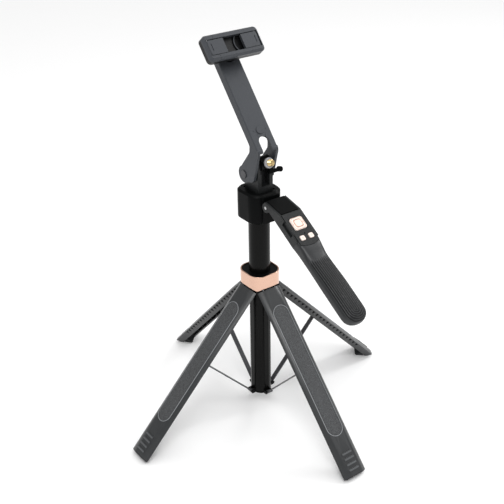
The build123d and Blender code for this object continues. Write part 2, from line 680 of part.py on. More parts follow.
def tilt_barrel():
    barrel = rod_x(BARREL_R, 2 * BARREL_HALF)
    for index in range(12):
        rib = Pos(0, BARREL_R * cos(radians(30 * index)), BARREL_R * sin(radians(30 * index)))
        barrel -= rib * Rot(0, 90, 0) * Cylinder(0.5, 2 * BARREL_HALF - 4.0)
    neck_end = SCREW_RING_OUT - SCREW_RING_T
    barrel += rod_y(SCREW_RING_R - 0.4, neck_end, 0, -neck_end / 2, 0)
    # Thumb tab that comes out below the screw and turns sideways past the right-hand cheek
    barrel += box_between((TAB_ROOT_X, TAB_Y - TAB_T / 2, TAB_Z - TAB_T / 2), (TAB_X - TAB_R, TAB_Y + TAB_T / 2, TAB_Z + TAB_T / 2))
    barrel += box_between((TAB_ROOT_X, TAB_Y - TAB_T / 2, TAB_Z), (TAB_ROOT_X + 4.0, TAB_Y + TAB_T / 2, -3.0))
    barrel += rod_y(TAB_R, TAB_T + 0.6, TAB_X - TAB_R, TAB_Y, TAB_Z)
    barrel -= rod_x(BARREL_PIN_R + RUN_FIT, 4 * BARREL_HALF)
    barrel -= rod_y(SCREW_SHANK_R + RUN_FIT, 2 * SCREW_GRIP + 2 * RUN_FIT, 0, -neck_end, 0)
    return tip_screw(barrel)


def barrel_pin():
    return rod_x(BARREL_PIN_R, 2 * BLOCK_HALF_X, BARREL_Y, BARREL_Z)


def screw_ring():
    out = SCREW_RING_OUT
    ring = rod_y(SCREW_RING_R, SCREW_RING_T - RUN_FIT, 0, -out + (SCREW_RING_T - RUN_FIT) / 2, 0)
    ring = fillet(ring.faces().sort_by(Axis.Y)[0].edges(), 0.6)
    return tip_screw(ring - rod_y(SCREW_SHANK_R, 4 * SCREW_RING_T, 0, -out, 0))


def camera_screw():
    """Quarter-inch stud: thread at its major diameter, on a thin shank through the ring into the barrel."""
    low = SCREW_RING_OUT + STUD_RELIEF
    high = SCREW_RING_OUT + SCREW_OUT
    root = SCREW_RING_OUT - SCREW_RING_T - SCREW_GRIP
    stud = rod_y(SCREW_R, high - low, 0, -(high + low) / 2, 0)
    stud = chamfer(stud.faces().sort_by(Axis.Y)[0].edges(), SCREW_TIP_BEVEL)
    stud += rod_y(SCREW_SHANK_R, high - root - 1, 0, -(high - 1 + root) / 2, 0)
    return tip_screw(stud)


# --- Phone clamp -------------------------------------------------------------------------------
def lift_clamp(shape):
    """Place a piece built with the clamp's front face on XZ, facing -Y, round its centre."""
    return lean_arm(Pos(0, -ARM_FACE - CLAMP_FACE, CLAMP_AT) * shape)


def clamp_blank():
    outline = Plane.XZ * RectangleRounded(CLAMP_W, CLAMP_H, CLAMP_CORNER)
    blank = extrude(outline, amount=-CLAMP_T)
    return chamfer(blank.faces().sort_by(Axis.Y)[0].edges(), CLAMP_BEVEL)


def clamp_rod_holes(radius):
    holes = []
    for side in (-1, 1):
        holes.append(rod_x(radius, CLAMP_W - 6.0, CLAMP_T - 3.2, side * ROD_SPREAD, 0))
    return holes


def clamp_frame():
    frame = clamp_blank()
    frame &= box_between((SPLIT_AT + SPLIT_GAP / 2, -1, -CLAMP_H), (CLAMP_W, CLAMP_T + 1, CLAMP_H))
    window = box_between((-CLAMP_W, -1, -WINDOW_H / 2), (WINDOW_W / 2, WINDOW_DEPTH, WINDOW_H / 2))
    frame -= window
    frame -= clamp_rod_holes(ROD_R + RUN_FIT)
    # Curved lip on the floor of the window, beside the right-hand jaw
    lip = rod_y(11.0, 3.0, 13.0, WINDOW_DEPTH - 1.4, 0) - rod_y(10.2, 4.0, 13.0, WINDOW_DEPTH - 1.4, 0)
    lip &= box_between((0, 0, -WINDOW_H / 2), (8.4, WINDOW_DEPTH + 0.1, WINDOW_H / 2))
    frame += lip
    pin_x = WINDOW_W / 2 - JAW_PIN_IN
    return frame - Pos(pin_x, JAW_PIN_IN, 0) * Cylinder(JAW_PIN_R, WINDOW_H + 4.0)


def clamp_slider():
    """End of the clamp that draws out to take the phone, with a tongue inside the window."""
    end = clamp_blank()
    end &= box_between((-CLAMP_W, -1, -CLAMP_H), (SPLIT_AT - SPLIT_GAP / 2, CLAMP_T + 1, CLAMP_H))
    end -= box_between((-WINDOW_W / 2, -1, -WINDOW_H / 2), (0, WINDOW_DEPTH - 1.6, WINDOW_H / 2))
    end -= box_between((SPLIT_AT - SPLIT_GAP, -1, -WINDOW_H / 2 + 0.3), (0, CLAMP_T + 2, WINDOW_H / 2 - 0.3))
    tongue_low = WINDOW_DEPTH - 1.6
    tongue = box_between((-WINDOW_W / 2, tongue_low, -WINDOW_H / 2 + 0.3),
                         (2.0, WINDOW_DEPTH - 0.3, WINDOW_H / 2 - 0.3))
    tongue -= rod_y(12.0, 10.0, 13.0, WINDOW_DEPTH, 0)
    end += tongue
    end -= box_between((-WINDOW_W / 2 + 4.5, -1, -WINDOW_H / 2 - 0.1),
                       (SPLIT_AT, tongue_low, WINDOW_H / 2 + 0.1))
    pin_x = -WINDOW_W / 2 + JAW_PIN_IN
    end -= Pos(pin_x, JAW_PIN_IN, 0) * Cylinder(JAW_PIN_R, WINDOW_H + 4.0)
    return end - clamp_rod_holes(ROD_R)


def clamp_rods():
    return Compound(children=clamp_rod_holes(ROD_R))


def clamp_spring():
    """Return spring between the window's floor and the back cover."""
    length = BACK_W - 8.0
    helix = Helix(pitch=length / SPRING_TURNS, height=length, radius=SPRING_R)
    section = Plane(origin=helix @ 0, z_dir=helix % 0) * Circle(SPRING_WIRE_R)
    coil = sweep(section, path=helix)
    return Pos(-length / 2, CLAMP_T + SPRING_R + SPRING_WIRE_R + 0.2, SPRING_AT) * Rot(0, 90, 0) * coil


def clamp_back():
    """Cover over the spring, with the round boss that turns on the arm's swivel base."""
    cover = box_between((-BACK_W / 2, CLAMP_T, -BACK_H / 2), (BACK_W / 2, CLAMP_T + BACK_T, BACK_H / 2))
    cover = fillet(cover.edges().filter_by(Axis.Y), 3.0)
    cover = chamfer(cover.faces().sort_by(Axis.Y)[-1].edges(), 0.8)
    boss_top = CLAMP_FACE - SWIVEL_T / 2
    cover += rod_y(SWIVEL_R, boss_top - CLAMP_T, 0, (boss_top + CLAMP_T) / 2, 0)
    room = SPRING_R + SPRING_WIRE_R + 0.5
    cover -= box_between((-BACK_W / 2 + 3.0, CLAMP_T - 1, SPRING_AT - room),
                         (BACK_W / 2 - 3.0, CLAMP_T + BACK_T - 0.8, SPRING_AT + room))
    return cover - rod_y(SWIVEL_SHAFT_R + RUN_FIT, 4 * CLAMP_FACE, 0, CLAMP_T, 0)


def swivel_base():
    """Disc on the arm's face with the screw that the clamp turns on."""
    low = CLAMP_FACE - SWIVEL_T / 2 + RUN_FIT
    base = rod_y(SWIVEL_R - 1.0, CLAMP_FACE - low, 0, (CLAMP_FACE + low) / 2, 0)
    shaft_low = CLAMP_T + 0.6
    shaft_high = CLAMP_FACE + ARM_WALL
    base += rod_y(SWIVEL_SHAFT_R, shaft_high - shaft_low, 0, (shaft_high + shaft_low) / 2, 0)
    base += rod_y(SWIVEL_NUT_R, SWIVEL_NUT_T, 0, shaft_high + SWIVEL_NUT_T / 2, 0)
    return base


def jaw(side):
    """Flip-up jaw lying flush in the window, hinged at its outer end."""
    pin_x = side * (WINDOW_W / 2 - JAW_PIN_IN)
    low_x, high_x = sorted((pin_x, pin_x - side * JAW_L))
    face = JAW_PIN_IN - JAW_T / 2
    plate = box_between((low_x, face, -JAW_H / 2), (high_x, face + JAW_T, JAW_H / 2))
    plate += Pos(pin_x, JAW_PIN_IN, 0) * Cylinder(JAW_T / 2, JAW_H)
    plate -= Pos(pin_x - side * 1.2 * JAW_PIN_IN, face, 0) * Box(0.9, 1.2, JAW_H / 2)
    return plate - Pos(pin_x, JAW_PIN_IN, 0) * Cylinder(JAW_PIN_R + RUN_FIT, 4 * JAW_H)


def jaw_pin(side):
    return Pos(side * (WINDOW_W / 2 - JAW_PIN_IN), JAW_PIN_IN, 0) * Cylinder(JAW_PIN_R, WINDOW_H + 4.0)


# --- Handle and remote -------------------------------------------------------------------------
def swing_handle(shape):
    """Place a piece built hanging straight down from its pin, its keys facing -Y."""
    return Pos(0, HANDLE_PIN_Y, HANDLE_PIN_Z) * Rot(-HANDLE_ANGLE, 0, 0) * shape


def handle_block(x_half, s_low, s_high, q_low, q_high):
    """Box along the handle: s is the distance from the pin, q the height towards the keys."""
    return box_between((-x_half, -q_high, -s_high), (x_half, -q_low, -s_low))


def handle_body():
    """Chassis: cheeks round the pin, cradle for the remote, and the core inside the grip."""
    points = [(-HANDLE_LOW, -2.0), (-HANDLE_LOW, -GRIP_START), (-HANDLE_PANEL + 0.6, -GRIP_START),
              (-HANDLE_PANEL + 0.6, -HOOD_END), (-HOOD_START_Q + 0.8, -HOOD_START), (-2.0, -HOOD_START)]
    body = side_plate(points, HANDLE_HALF_W)
    body = chamfer(body.edges().filter_by(Axis.Z).sort_by(Axis.Y)[-2:], 2.5)
    body += rod_x(HANDLE_EAR_R, 2 * HANDLE_HALF_W)
    inner = HANDLE_HALF_W - HANDLE_CHEEK_T
    # Room for the collar's tongue between the cheeks, over the whole swing
    body -= handle_block(inner, -3 * HANDLE_EAR_R, HANDLE_EAR_R + 0.6, -3 * HANDLE_EAR_R, 3 * HANDLE_PANEL)
    body -= handle_block(inner, 0, HOOD_END + 0.4, 2.6, 2 * HANDLE_PANEL)
    body -= handle_block(REMOTE_HALF_W + 0.2, REMOTE_START - 0.2, GRIP_START + 1,
                         HANDLE_PANEL - REMOTE_DEPTH - 0.2, 2 * HANDLE_PANEL)
    # Thumb notch in the left wall, used to push the remote out
    body -= box_between((-2 * HANDLE_HALF_W, -2 * HANDLE_PANEL, -NOTCH_TO),
                        (-REMOTE_HALF_W, NOTCH_DEPTH - HANDLE_PANEL, -NOTCH_FROM))
    core = handle_block(CORE_HALF_W, GRIP_START - 1, CORE_END, CORE_LOW, CORE_HIGH)
    core -= handle_block(CORE_HALF_W + 1, GRIP_START - 2, REMOTE_END + 1.0,
                         HANDLE_PANEL - REMOTE_DEPTH - 0.2, 2 * HANDLE_PANEL)
    body += core
    body -= rod_x(HANDLE_PIN_R + RUN_FIT, 4 * HANDLE_HALF_W)
    return body


def handle_hood():
    """Cover plate from the hinge up to the remote."""
    inner = HANDLE_HALF_W - HANDLE_CHEEK_T
    top = [(-HOOD_START_Q, -HOOD_START), (-HANDLE_PANEL, -HOOD_END)]
    points = [top[0], top[1], (-HANDLE_PANEL + HOOD_T, -HOOD_END), (-HOOD_START_Q + HOOD_T, -HOOD_START)]
    hood = side_plate(points, inner)
    return hood - rod_x(HANDLE_EAR_R, 2 * inner)


def rubber_grip():
    """Soft sleeve over the core, rounded at its end."""
    length = HANDLE_LENGTH - GRIP_START
    end_r = HANDLE_HALF_W - 0.2
    plan = Plane.XZ * make_face(Polyline((-HANDLE_HALF_W, -GRIP_START), (HANDLE_HALF_W, -GRIP_START),
                                         (HANDLE_HALF_W, end_r - HANDLE_LENGTH),
                                         (-HANDLE_HALF_W, end_r - HANDLE_LENGTH), close=True))
    plan += Plane.XZ * (Pos(0, end_r - HANDLE_LENGTH) * Circle(HANDLE_HALF_W))
    sleeve = extrude(plan, amount=3 * GRIP_HIGH, both=True)
    sleeve &= handle_block(2 * HANDLE_HALF_W, GRIP_START, GRIP_START + 2 * length, GRIP_LOW, GRIP_HIGH)
    edges = [e for e in sleeve.edges() if e.length > length / 3 and abs(e.center().Y) > 0]
    long_edges = [e for e in edges if abs((e @ 0).Y - (e @ 1).Y) < 0.01]
    sleeve = fillet(long_edges, GRIP_EDGE_R)
    sleeve -= handle_block(CORE_HALF_W, GRIP_START - 1, CORE_END, CORE_LOW, CORE_HIGH)
    sleeve -= handle_block(REMOTE_HALF_W + 0.2, GRIP_START - 1, REMOTE_END - 2.0 + BODY_GAP,
                           HANDLE_PANEL - REMOTE_DEPTH - 0.2, 2 * HANDLE_PANEL)
    nose = rod_y(BOW_R, 2 * GRIP_HIGH, 0, -GRIP_HIGH - (HANDLE_PANEL - REMOTE_DEPTH - 0.2), BOW_R - REMOTE_END - BODY_GAP)
    nose &= handle_block(REMOTE_HALF_W + 0.2, GRIP_START, REMOTE_END + 2.0,
                         HANDLE_PANEL - REMOTE_DEPTH - 0.2, 2 * HANDLE_PANEL)
    return sleeve - nose


def remote_outline(inset):
    """Remote seen from its keys: straight at the hood end, bowed at the grip end."""
    half = REMOTE_HALF_W - inset
    plate = handle_block(half, REMOTE_START + inset, REMOTE_END - inset, 0, 30)
    return plate & rod_y(BOW_R - inset, 6 * HANDLE_PANEL, 0, 0, BOW_R - REMOTE_END)


def remote_case():
    low = HANDLE_PANEL - REMOTE_DEPTH
    case = remote_outline(0) & handle_block(30, 0, 90, low, HANDLE_PANEL)
    case -= remote_outline(REMOTE_WALL) & handle_block(30, 0, 90, low + REMOTE_WALL, HANDLE_PANEL - REMOTE_WALL)
    well = handle_block(NAV_W / 2 + KEY_GAP, NAV_AT - NAV_L / 2 - KEY_GAP, NAV_AT + NAV_L / 2 + KEY_GAP,
                        HANDLE_PANEL - 2 * REMOTE_WALL, 2 * HANDLE_PANEL)
    case -= well
    for side in (-1, 1):
        case -= key_prism(side * KEY_X, KEY_AT, KEY_SIZE + 2 * KEY_GAP, KEY_SIZE + 2 * KEY_GAP,
                          HANDLE_PANEL - 2 * REMOTE_WALL, 2 * HANDLE_PANEL, 1.3)
    return case - rod_y(LED_R, 4 * REMOTE_WALL, 0, -HANDLE_PANEL, -LED_AT)


def key_prism(x, s, width, length, q_low, q_high, corner):
    """Rounded key standing on q_low, its top at q_high."""
    outline = Plane.XZ * (Pos(x, -s) * RectangleRounded(width, length, corner))
    return Pos(0, -q_low, 0) * extrude(outline, amount=q_high - q_low)


def nav_pad():
    """Four-way key with a well for the middle button."""
    low = HANDLE_PANEL - KEY_STEM
    pad = key_prism(0, NAV_AT, NAV_W, NAV_L, low, HANDLE_PANEL + NAV_PROUD, 2.6)
    pad = chamfer(pad.faces().sort_by(Axis.Y)[0].edges(), 0.3)
    return pad - key_prism(0, NAV_AT, 2 * (OK_HALF + KEY_GAP), 2 * (OK_HALF + KEY_GAP), 0, 2 * HANDLE_PANEL,
                           OK_CORNER + KEY_GAP)


def ok_button():
    low = HANDLE_PANEL - KEY_STEM
    high = HANDLE_PANEL + OK_PROUD
    key = key_prism(0, NAV_AT, 2 * OK_HALF, 2 * OK_HALF, low, high, OK_CORNER)
    return fillet(key.faces().sort_by(Axis.Y)[0].edges(), 0.4)


def small_key(side):
    low = HANDLE_PANEL - KEY_STEM
    key = key_prism(side * KEY_X, KEY_AT, KEY_SIZE, KEY_SIZE, low, HANDLE_PANEL + KEY_PROUD, 1.3)
    return chamfer(key.faces().sort_by(Axis.Y)[0].edges(), 0.3)


def remote_board():
    """Circuit board with a dome switch under each key."""
    base = HANDLE_PANEL - REMOTE_DEPTH + REMOTE_WALL
    low = base + CELL_T + 0.2
    return handle_block(REMOTE_HALF_W - 2 * REMOTE_WALL, REMOTE_START + 3, REMOTE_END - 6, low, low + BOARD_T)


def coin_cell():
    base = HANDLE_PANEL - REMOTE_DEPTH + REMOTE_WALL
    return rod_y(CELL_R, CELL_T, 0, -base - CELL_T / 2 - 0.1, -(REMOTE_START + REMOTE_END) / 2)


def build():
    os.makedirs("parts", exist_ok=True)
    export(hub_core(), "hub_core")
    export(hub_ring(), "hub_ring")
    export(leg_hinge_pins(), "leg_hinge_pins")
    export(mast_tube(), "mast_tube")
    export(mast_foot(), "mast_foot")
    for index in range(1, SECTION_COUNT + 1):
        export(section_tube(index), "section_tube_" + str(index))
        export(guide_bushing(index), "guide_bushing_" + str(index))
    shell = leg_shell()
    for bar in leg_bars():
        shell += bar
    pad = leg_pad()
    foot = leg_foot()
    # The open leg stands on its heel alone: its shell is cut off level, just over the floor.
    shell -= floor_seen_folded(TIP_CLEAR)
    foot -= floor_seen_folded(0)
    for name in QUARTERS:
        export(open_leg(shell, name), "leg_" + name)
        export(open_leg(pad, name), "leg_pad_" + name)
        export(open_leg(foot, name), "leg_foot_" + name)
        export(strut(name), "strut_" + name)
    export(collar(), "collar")
    export(bracket_block(), "bracket_block")
    export(arm_pin(), "arm_pin")
    export(arm_channel(), "arm_channel")
    export(arm_button(), "arm_button")
    export(tilt_barrel(), "tilt_barrel")
    export(barrel_pin(), "barrel_pin")
    export(screw_ring(), "screw_ring")
    export(camera_screw(), "camera_screw")
    export(lift_clamp(clamp_frame()), "clamp_frame")
    export(lift_clamp(clamp_slider()), "clamp_slider")
    export(lift_clamp(clamp_rods()), "clamp_rods")
    export(lift_clamp(clamp_spring()), "clamp_spring")
    export(lift_clamp(clamp_back()), "clamp_back")
    export(lift_clamp(swivel_base()), "swivel_base")
    for name, side in (("left", -1), ("right", 1)):
        export(lift_clamp(jaw(side)), "jaw_" + name)
        export(lift_clamp(jaw_pin(side)), "jaw_pin_" + name)
        export(swing_handle(small_key(side)), "key_" + name)
    handle_pin = rod_x(HANDLE_PIN_R, 2 * HANDLE_HALF_W, HANDLE_PIN_Y, HANDLE_PIN_Z)
    export(handle_pin, "handle_pin")
    export(swing_handle(handle_body()), "handle_body")
    export(swing_handle(handle_hood()), "handle_hood")
    export(swing_handle(rubber_grip()), "rubber_grip")
    export(swing_handle(remote_case()), "remote_case")
    export(swing_handle(remote_board()), "remote_board")
    export(swing_handle(coin_cell()), "coin_cell")
    export(swing_handle(nav_pad()), "nav_pad")
    export(swing_handle(ok_button()), "ok_button")


build()
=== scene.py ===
import json
import math

import bpy
import numpy as np
from mathutils import Matrix, Vector


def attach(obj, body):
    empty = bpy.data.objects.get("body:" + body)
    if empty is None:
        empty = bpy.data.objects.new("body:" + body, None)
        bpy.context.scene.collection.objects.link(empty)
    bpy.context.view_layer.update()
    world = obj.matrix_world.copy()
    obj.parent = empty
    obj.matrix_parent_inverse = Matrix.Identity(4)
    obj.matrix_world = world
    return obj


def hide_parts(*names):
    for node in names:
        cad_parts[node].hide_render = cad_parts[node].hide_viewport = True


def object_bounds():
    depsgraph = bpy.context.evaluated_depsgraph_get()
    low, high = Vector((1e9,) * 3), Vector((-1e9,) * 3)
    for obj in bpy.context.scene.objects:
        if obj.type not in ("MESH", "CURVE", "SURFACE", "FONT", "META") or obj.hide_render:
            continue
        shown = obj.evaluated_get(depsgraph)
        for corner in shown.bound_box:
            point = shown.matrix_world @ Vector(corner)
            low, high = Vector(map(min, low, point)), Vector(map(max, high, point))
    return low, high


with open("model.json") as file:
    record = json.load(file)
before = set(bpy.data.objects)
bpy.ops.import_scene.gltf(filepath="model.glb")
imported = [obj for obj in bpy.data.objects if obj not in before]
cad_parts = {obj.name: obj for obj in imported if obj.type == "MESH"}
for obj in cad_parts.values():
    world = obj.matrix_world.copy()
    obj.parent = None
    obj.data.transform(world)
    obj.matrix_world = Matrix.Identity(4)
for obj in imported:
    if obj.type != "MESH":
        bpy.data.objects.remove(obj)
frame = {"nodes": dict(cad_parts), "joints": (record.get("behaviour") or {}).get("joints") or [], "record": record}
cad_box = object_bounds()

bl_info = {
    "name": "Selfie Stick Stand Finish",
    "version": (1, 0, 0),
    "blender": (4, 5, 0),
    "location": "View3D > Sidebar > Stand",
    "description": "Surface detail and finishes for a telescopic selfie stick on four folding legs",
    "category": "Object",
}

MM = 0.001
LEGS = ("left", "front", "right", "back")
JOINTS = {joint["name"]: joint for joint in frame["joints"]}
X_AXIS = np.array((1.0, 0.0, 0.0))
GRIP_BARS = 4
SQUARE_POWER = 4.5
LINE_SIDES = 8
LINE_FLATNESS = 0.35
WINDOW_SHADE_DEPTH = 4.6 * MM
FINE_GRAIN = 2600.0
CAMERA_AZIMUTH, CAMERA_ELEVATION, CAMERA_ROLL = -36.43, 28.57, -0.68
CAMERA_TARGET_HEIGHT, CAMERA_DISTANCE = 0.1909, 0.9126


# --- Reading the frame -------------------------------------------------------------------------
def node_points(node):
    """All corner points of a CAD node, in metres, one row each."""
    mesh = frame["nodes"][node].data
    flat = np.empty(len(mesh.vertices) * 3, np.float32)
    mesh.vertices.foreach_get("co", flat)
    return flat.reshape(-1, 3).astype(float)


def joint_line(name):
    """Place and unit direction of a joint's axis."""
    joint = JOINTS[name]
    return np.array(joint["pos_m"], float), np.array(joint["axis"], float)


def reach(node, origin, direction):
    """Lowest and highest distance of a node along a line through origin."""
    along = (node_points(node) - origin) @ direction
    return along.min(), along.max()


def handle_axes():
    """Pin, direction down the handle, and direction out of its keys."""
    pin, _ = joint_line("handle_fold")
    out = np.array(JOINTS["remote_lift"]["axis"], float)
    return pin, np.array((0.0, -out[2], out[1])), out


def on_handle(x, s, q):
    """Point x to the right, s down the handle from its pin and q out towards the keys."""
    pin, down, out = handle_axes()
    return (pin + np.multiply.outer(x, X_AXIS) + np.multiply.outer(s, down)
            + np.multiply.outer(q, out))


# --- Mesh making -------------------------------------------------------------------------------
def grid_faces(rows, columns, wrap):
    """Quads of a grid of points, row by row; wrap joins the last column to the first."""
    across = columns if wrap else columns - 1
    row, column = np.meshgrid(np.arange(rows - 1), np.arange(across), indexing="ij")
    here = row * columns + column
    right = row * columns + (column + 1) % columns
    return np.stack((here, right, right + columns, here + columns), -1).reshape(-1, 4)


def make_piece(name, points, faces, material, body, node=None, smooth_deg=40.0):
    """Mesh object from an array of points and lists of faces, riding on a body."""
    mesh = bpy.data.meshes.new(name)
    mesh.from_pydata(np.asarray(points, float).reshape(-1, 3).tolist(), [],
                     [list(map(int, face)) for face in faces])
    mesh.validate()
    mesh.materials.append(material)
    piece = bpy.data.objects.new(name, mesh)
    bpy.context.scene.collection.objects.link(piece)
    face_outwards(mesh)
    mesh.shade_smooth()
    mesh.set_sharp_from_angle(angle=math.radians(smooth_deg))
    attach(piece, body)
    if node:
        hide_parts(node)
    return piece


def face_outwards(mesh):
    """Turn every face of a closed mesh to point out of it, by the sign of its volume."""
    corners = np.empty(len(mesh.vertices) * 3, np.float32)
    mesh.vertices.foreach_get("co", corners)
    corners = corners.reshape(-1, 3).astype(float)
    mesh.calc_loop_triangles()
    index = np.empty(len(mesh.loop_triangles) * 3, np.int32)
    mesh.loop_triangles.foreach_get("vertices", index)
    a, b, c = corners[index.reshape(-1, 3)].transpose(1, 0, 2)
    if np.einsum("ij,ij->", a, np.cross(b, c)) < 0:
        mesh.flip_normals()


def closed_rings(rings):
    """Points and faces of a lofted solid: closed rings one after another, each end one flat face."""
    count, around = rings.shape[:2]
    faces = [list(face) for face in grid_faces(count, around, True)]
    last = (count - 1) * around
    faces.append(list(range(around - 1, -1, -1)))
    faces.append(list(range(last, last + around)))
    return rings.reshape(-1, 3), faces


def tube_faces(rows, columns):
    """Quads of a tube that closes on itself: its last ring joins its first."""
    last = (rows - 1) * columns
    step = np.arange(columns)
    nxt = (step + 1) % columns
    closing = np.stack((last + step, last + nxt, nxt, step), -1)
    return np.concatenate((grid_faces(rows, columns, True), closing))


def smooth_step(low, high, value):
    """0 below low, 1 above high, and a smooth S between."""
    t = np.clip((value - low) / (high - low), 0.0, 1.0)
    return t * t * (3.0 - 2.0 * t)


def round_frame(direction):
    """Two unit vectors square to a direction and to each other."""
    side = np.cross(direction, X_AXIS)
    if np.linalg.norm(side) < 0.1:
        side = np.cross(direction, (0.0, 0.0, 1.0))
    side = side / np.linalg.norm(side)
    return side, np.cross(direction, side)


# --- Node groups -------------------------------------------------------------------------------
def new_group(name, inputs, outputs):
    """Empty shader node group with named sockets; each input is (name, kind, value)."""
    tree = bpy.data.node_groups.new(name, "ShaderNodeTree")
    for title, kind, value in inputs:
        socket = tree.interface.new_socket(title, in_out="INPUT", socket_type=kind)
        socket.default_value = value
    for title, kind in outputs:
        tree.interface.new_socket(title, in_out="OUTPUT", socket_type=kind)
    return tree, tree.nodes.new("NodeGroupInput"), tree.nodes.new("NodeGroupOutput")


def add_node(tree, kind, **settings):
    node = tree.nodes.new(kind)
    for key, value in settings.items():
        setattr(node, key, value)
    return node


def noise(tree, vector, scale, detail, stretch=None):
    """Noise texture; scale is a socket or a number, stretch squeezes its space along X, Y and Z."""
    if stretch:
        mapping = add_node(tree, "ShaderNodeMapping")
        mapping.inputs["Scale"].default_value = stretch
        tree.links.new(vector, mapping.inputs["Vector"])
        vector = mapping.outputs["Vector"]
    texture = add_node(tree, "ShaderNodeTexNoise")
    texture.inputs["Detail"].default_value = detail
    tree.links.new(vector, texture.inputs["Vector"])
    if isinstance(scale, float):
        texture.inputs["Scale"].default_value = scale
    else:
        tree.links.new(scale, texture.inputs["Scale"])
    return texture.outputs["Fac"]


def ranged(tree, value, low, high, to_low, to_high):
    """Map a value from one range to another; the ends are sockets or numbers."""
    node = add_node(tree, "ShaderNodeMapRange")
    tree.links.new(value, node.inputs["Value"])
    for title, end in (("From Min", low), ("From Max", high), ("To Min", to_low), ("To Max", to_high)):
        if isinstance(end, float):
            node.inputs[title].default_value = end
        else:
            tree.links.new(end, node.inputs[title])
    return node.outputs["Result"]


def blended(tree, factor, first, second):
    """Mix two colours by a factor."""
    node = add_node(tree, "ShaderNodeMix", data_type="RGBA")
    tree.links.new(factor, node.inputs["Factor"])
    for place, colour in ((6, first), (7, second)):
        if isinstance(colour, tuple):
            node.inputs[place].default_value = colour
        else:
            tree.links.new(colour, node.inputs[place])
    return node.outputs[2]


def computed(tree, operation, first, second):
    """Arithmetic on two values; each is a socket or a number."""
    node = add_node(tree, "ShaderNodeMath", operation=operation)
    for place, value in ((0, first), (1, second)):
        if isinstance(value, float):
            node.inputs[place].default_value = value
        else:
            tree.links.new(value, node.inputs[place])
    return node.outputs[0]


def moulded_grain_group():
    """Spark-eroded mould grain: fine noise for height, broad noise for tint and dullness."""
    name = "Moulded Grain"
    if name in bpy.data.node_groups:
        return bpy.data.node_groups[name]
    tree, given, result = new_group(name, (
        ("Tint", "NodeSocketColor", (0.1, 0.1, 0.1, 1.0)),
        ("Worn Tint", "NodeSocketColor", (0.12, 0.12, 0.12, 1.0)),
        ("Grain Scale", "NodeSocketFloat", 2400.0),
        ("Blotch Scale", "NodeSocketFloat", 60.0),
        ("Roughness Low", "NodeSocketFloat", 0.4),
        ("Roughness High", "NodeSocketFloat", 0.55)),
        (("Colour", "NodeSocketColor"), ("Roughness", "NodeSocketFloat"), ("Height", "NodeSocketFloat")))
    place = add_node(tree, "ShaderNodeTexCoord").outputs["Object"]
    grain = noise(tree, place, given.outputs["Grain Scale"], 2.0)
    blotch = noise(tree, place, given.outputs["Blotch Scale"], 3.0)
    speck = ranged(tree, grain, 0.35, 0.65, 0.0, 1.0)
    worn = computed(tree, "MULTIPLY", ranged(tree, blotch, 0.3, 0.7, 0.25, 1.0), speck)
    colour = blended(tree, worn, given.outputs["Tint"], given.outputs["Worn Tint"])
    dull = ranged(tree, blotch, 0.3, 0.7, given.outputs["Roughness Low"], given.outputs["Roughness High"])
    tree.links.new(colour, result.inputs["Colour"])
    tree.links.new(dull, result.inputs["Roughness"])
    tree.links.new(grain, result.inputs["Height"])
    return tree


def pebble_group():
    """Leather-like pebble: rounded cells from the distance to the cells' edges, over fine noise."""
    name = "Pebble Grain"
    if name in bpy.data.node_groups:
        return bpy.data.node_groups[name]
    tree, given, result = new_group(name, (("Cell Scale", "NodeSocketFloat", 1100.0),), (
        ("Crest", "NodeSocketFloat"), ("Height", "NodeSocketFloat")))
    place = add_node(tree, "ShaderNodeTexCoord").outputs["Object"]
    cells = add_node(tree, "ShaderNodeTexVoronoi", feature="DISTANCE_TO_EDGE")
    tree.links.new(place, cells.inputs["Vector"])
    tree.links.new(given.outputs["Cell Scale"], cells.inputs["Scale"])
    crest = ranged(tree, cells.outputs["Distance"], 0.0, 0.35, 0.0, 1.0)
    fine = noise(tree, place, 4200.0, 2.0)
    height = computed(tree, "ADD", computed(tree, "MULTIPLY", crest, 0.75),
                      computed(tree, "MULTIPLY", fine, 0.25))
    tree.links.new(crest, result.inputs["Crest"])
    tree.links.new(height, result.inputs["Height"])
    return tree


def drawn_lines_group():
    """Fine lines left by brushing or extruding: noise squeezed hard along one direction."""
    name = "Drawn Lines"
    if name in bpy.data.node_groups:
        return bpy.data.node_groups[name]
    tree, given, result = new_group(name, (
        ("Squeeze", "NodeSocketVector", (1.0, 1.0, 0.02)),
        ("Roughness Low", "NodeSocketFloat", 0.15),
        ("Roughness High", "NodeSocketFloat", 0.3)),
        (("Lines", "NodeSocketFloat"), ("Roughness", "NodeSocketFloat")))
    place = add_node(tree, "ShaderNodeTexCoord").outputs["Object"]
    mapping = add_node(tree, "ShaderNodeMapping")
    tree.links.new(place, mapping.inputs["Vector"])
    tree.links.new(given.outputs["Squeeze"], mapping.inputs["Scale"])
    lines = noise(tree, mapping.outputs["Vector"], FINE_GRAIN, 2.0)
    dull = ranged(tree, lines, 0.3, 0.7, given.outputs["Roughness Low"], given.outputs["Roughness High"])
    tree.links.new(lines, result.inputs["Lines"])
    tree.links.new(dull, result.inputs["Roughness"])
    return tree


def dust_group():
    """Light handling dust: broad noise times fine noise, kept above a threshold."""
    name = "Handling Dust"
    if name in bpy.data.node_groups:
        return bpy.data.node_groups[name]
    tree, given, result = new_group(name, (("Amount", "NodeSocketFloat", 0.2),),
                                    (("Mask", "NodeSocketFloat"),))
    place = add_node(tree, "ShaderNodeTexCoord").outputs["Object"]
    broad = ranged(tree, noise(tree, place, 45.0, 4.0), 0.5, 0.75, 0.0, 1.0)
    fine = ranged(tree, noise(tree, place, 900.0, 3.0), 0.45, 0.7, 0.0, 1.0)
    mask = computed(tree, "MULTIPLY", computed(tree, "MULTIPLY", broad, fine), given.outputs["Amount"])
    tree.links.new(mask, result.inputs["Mask"])
    return tree


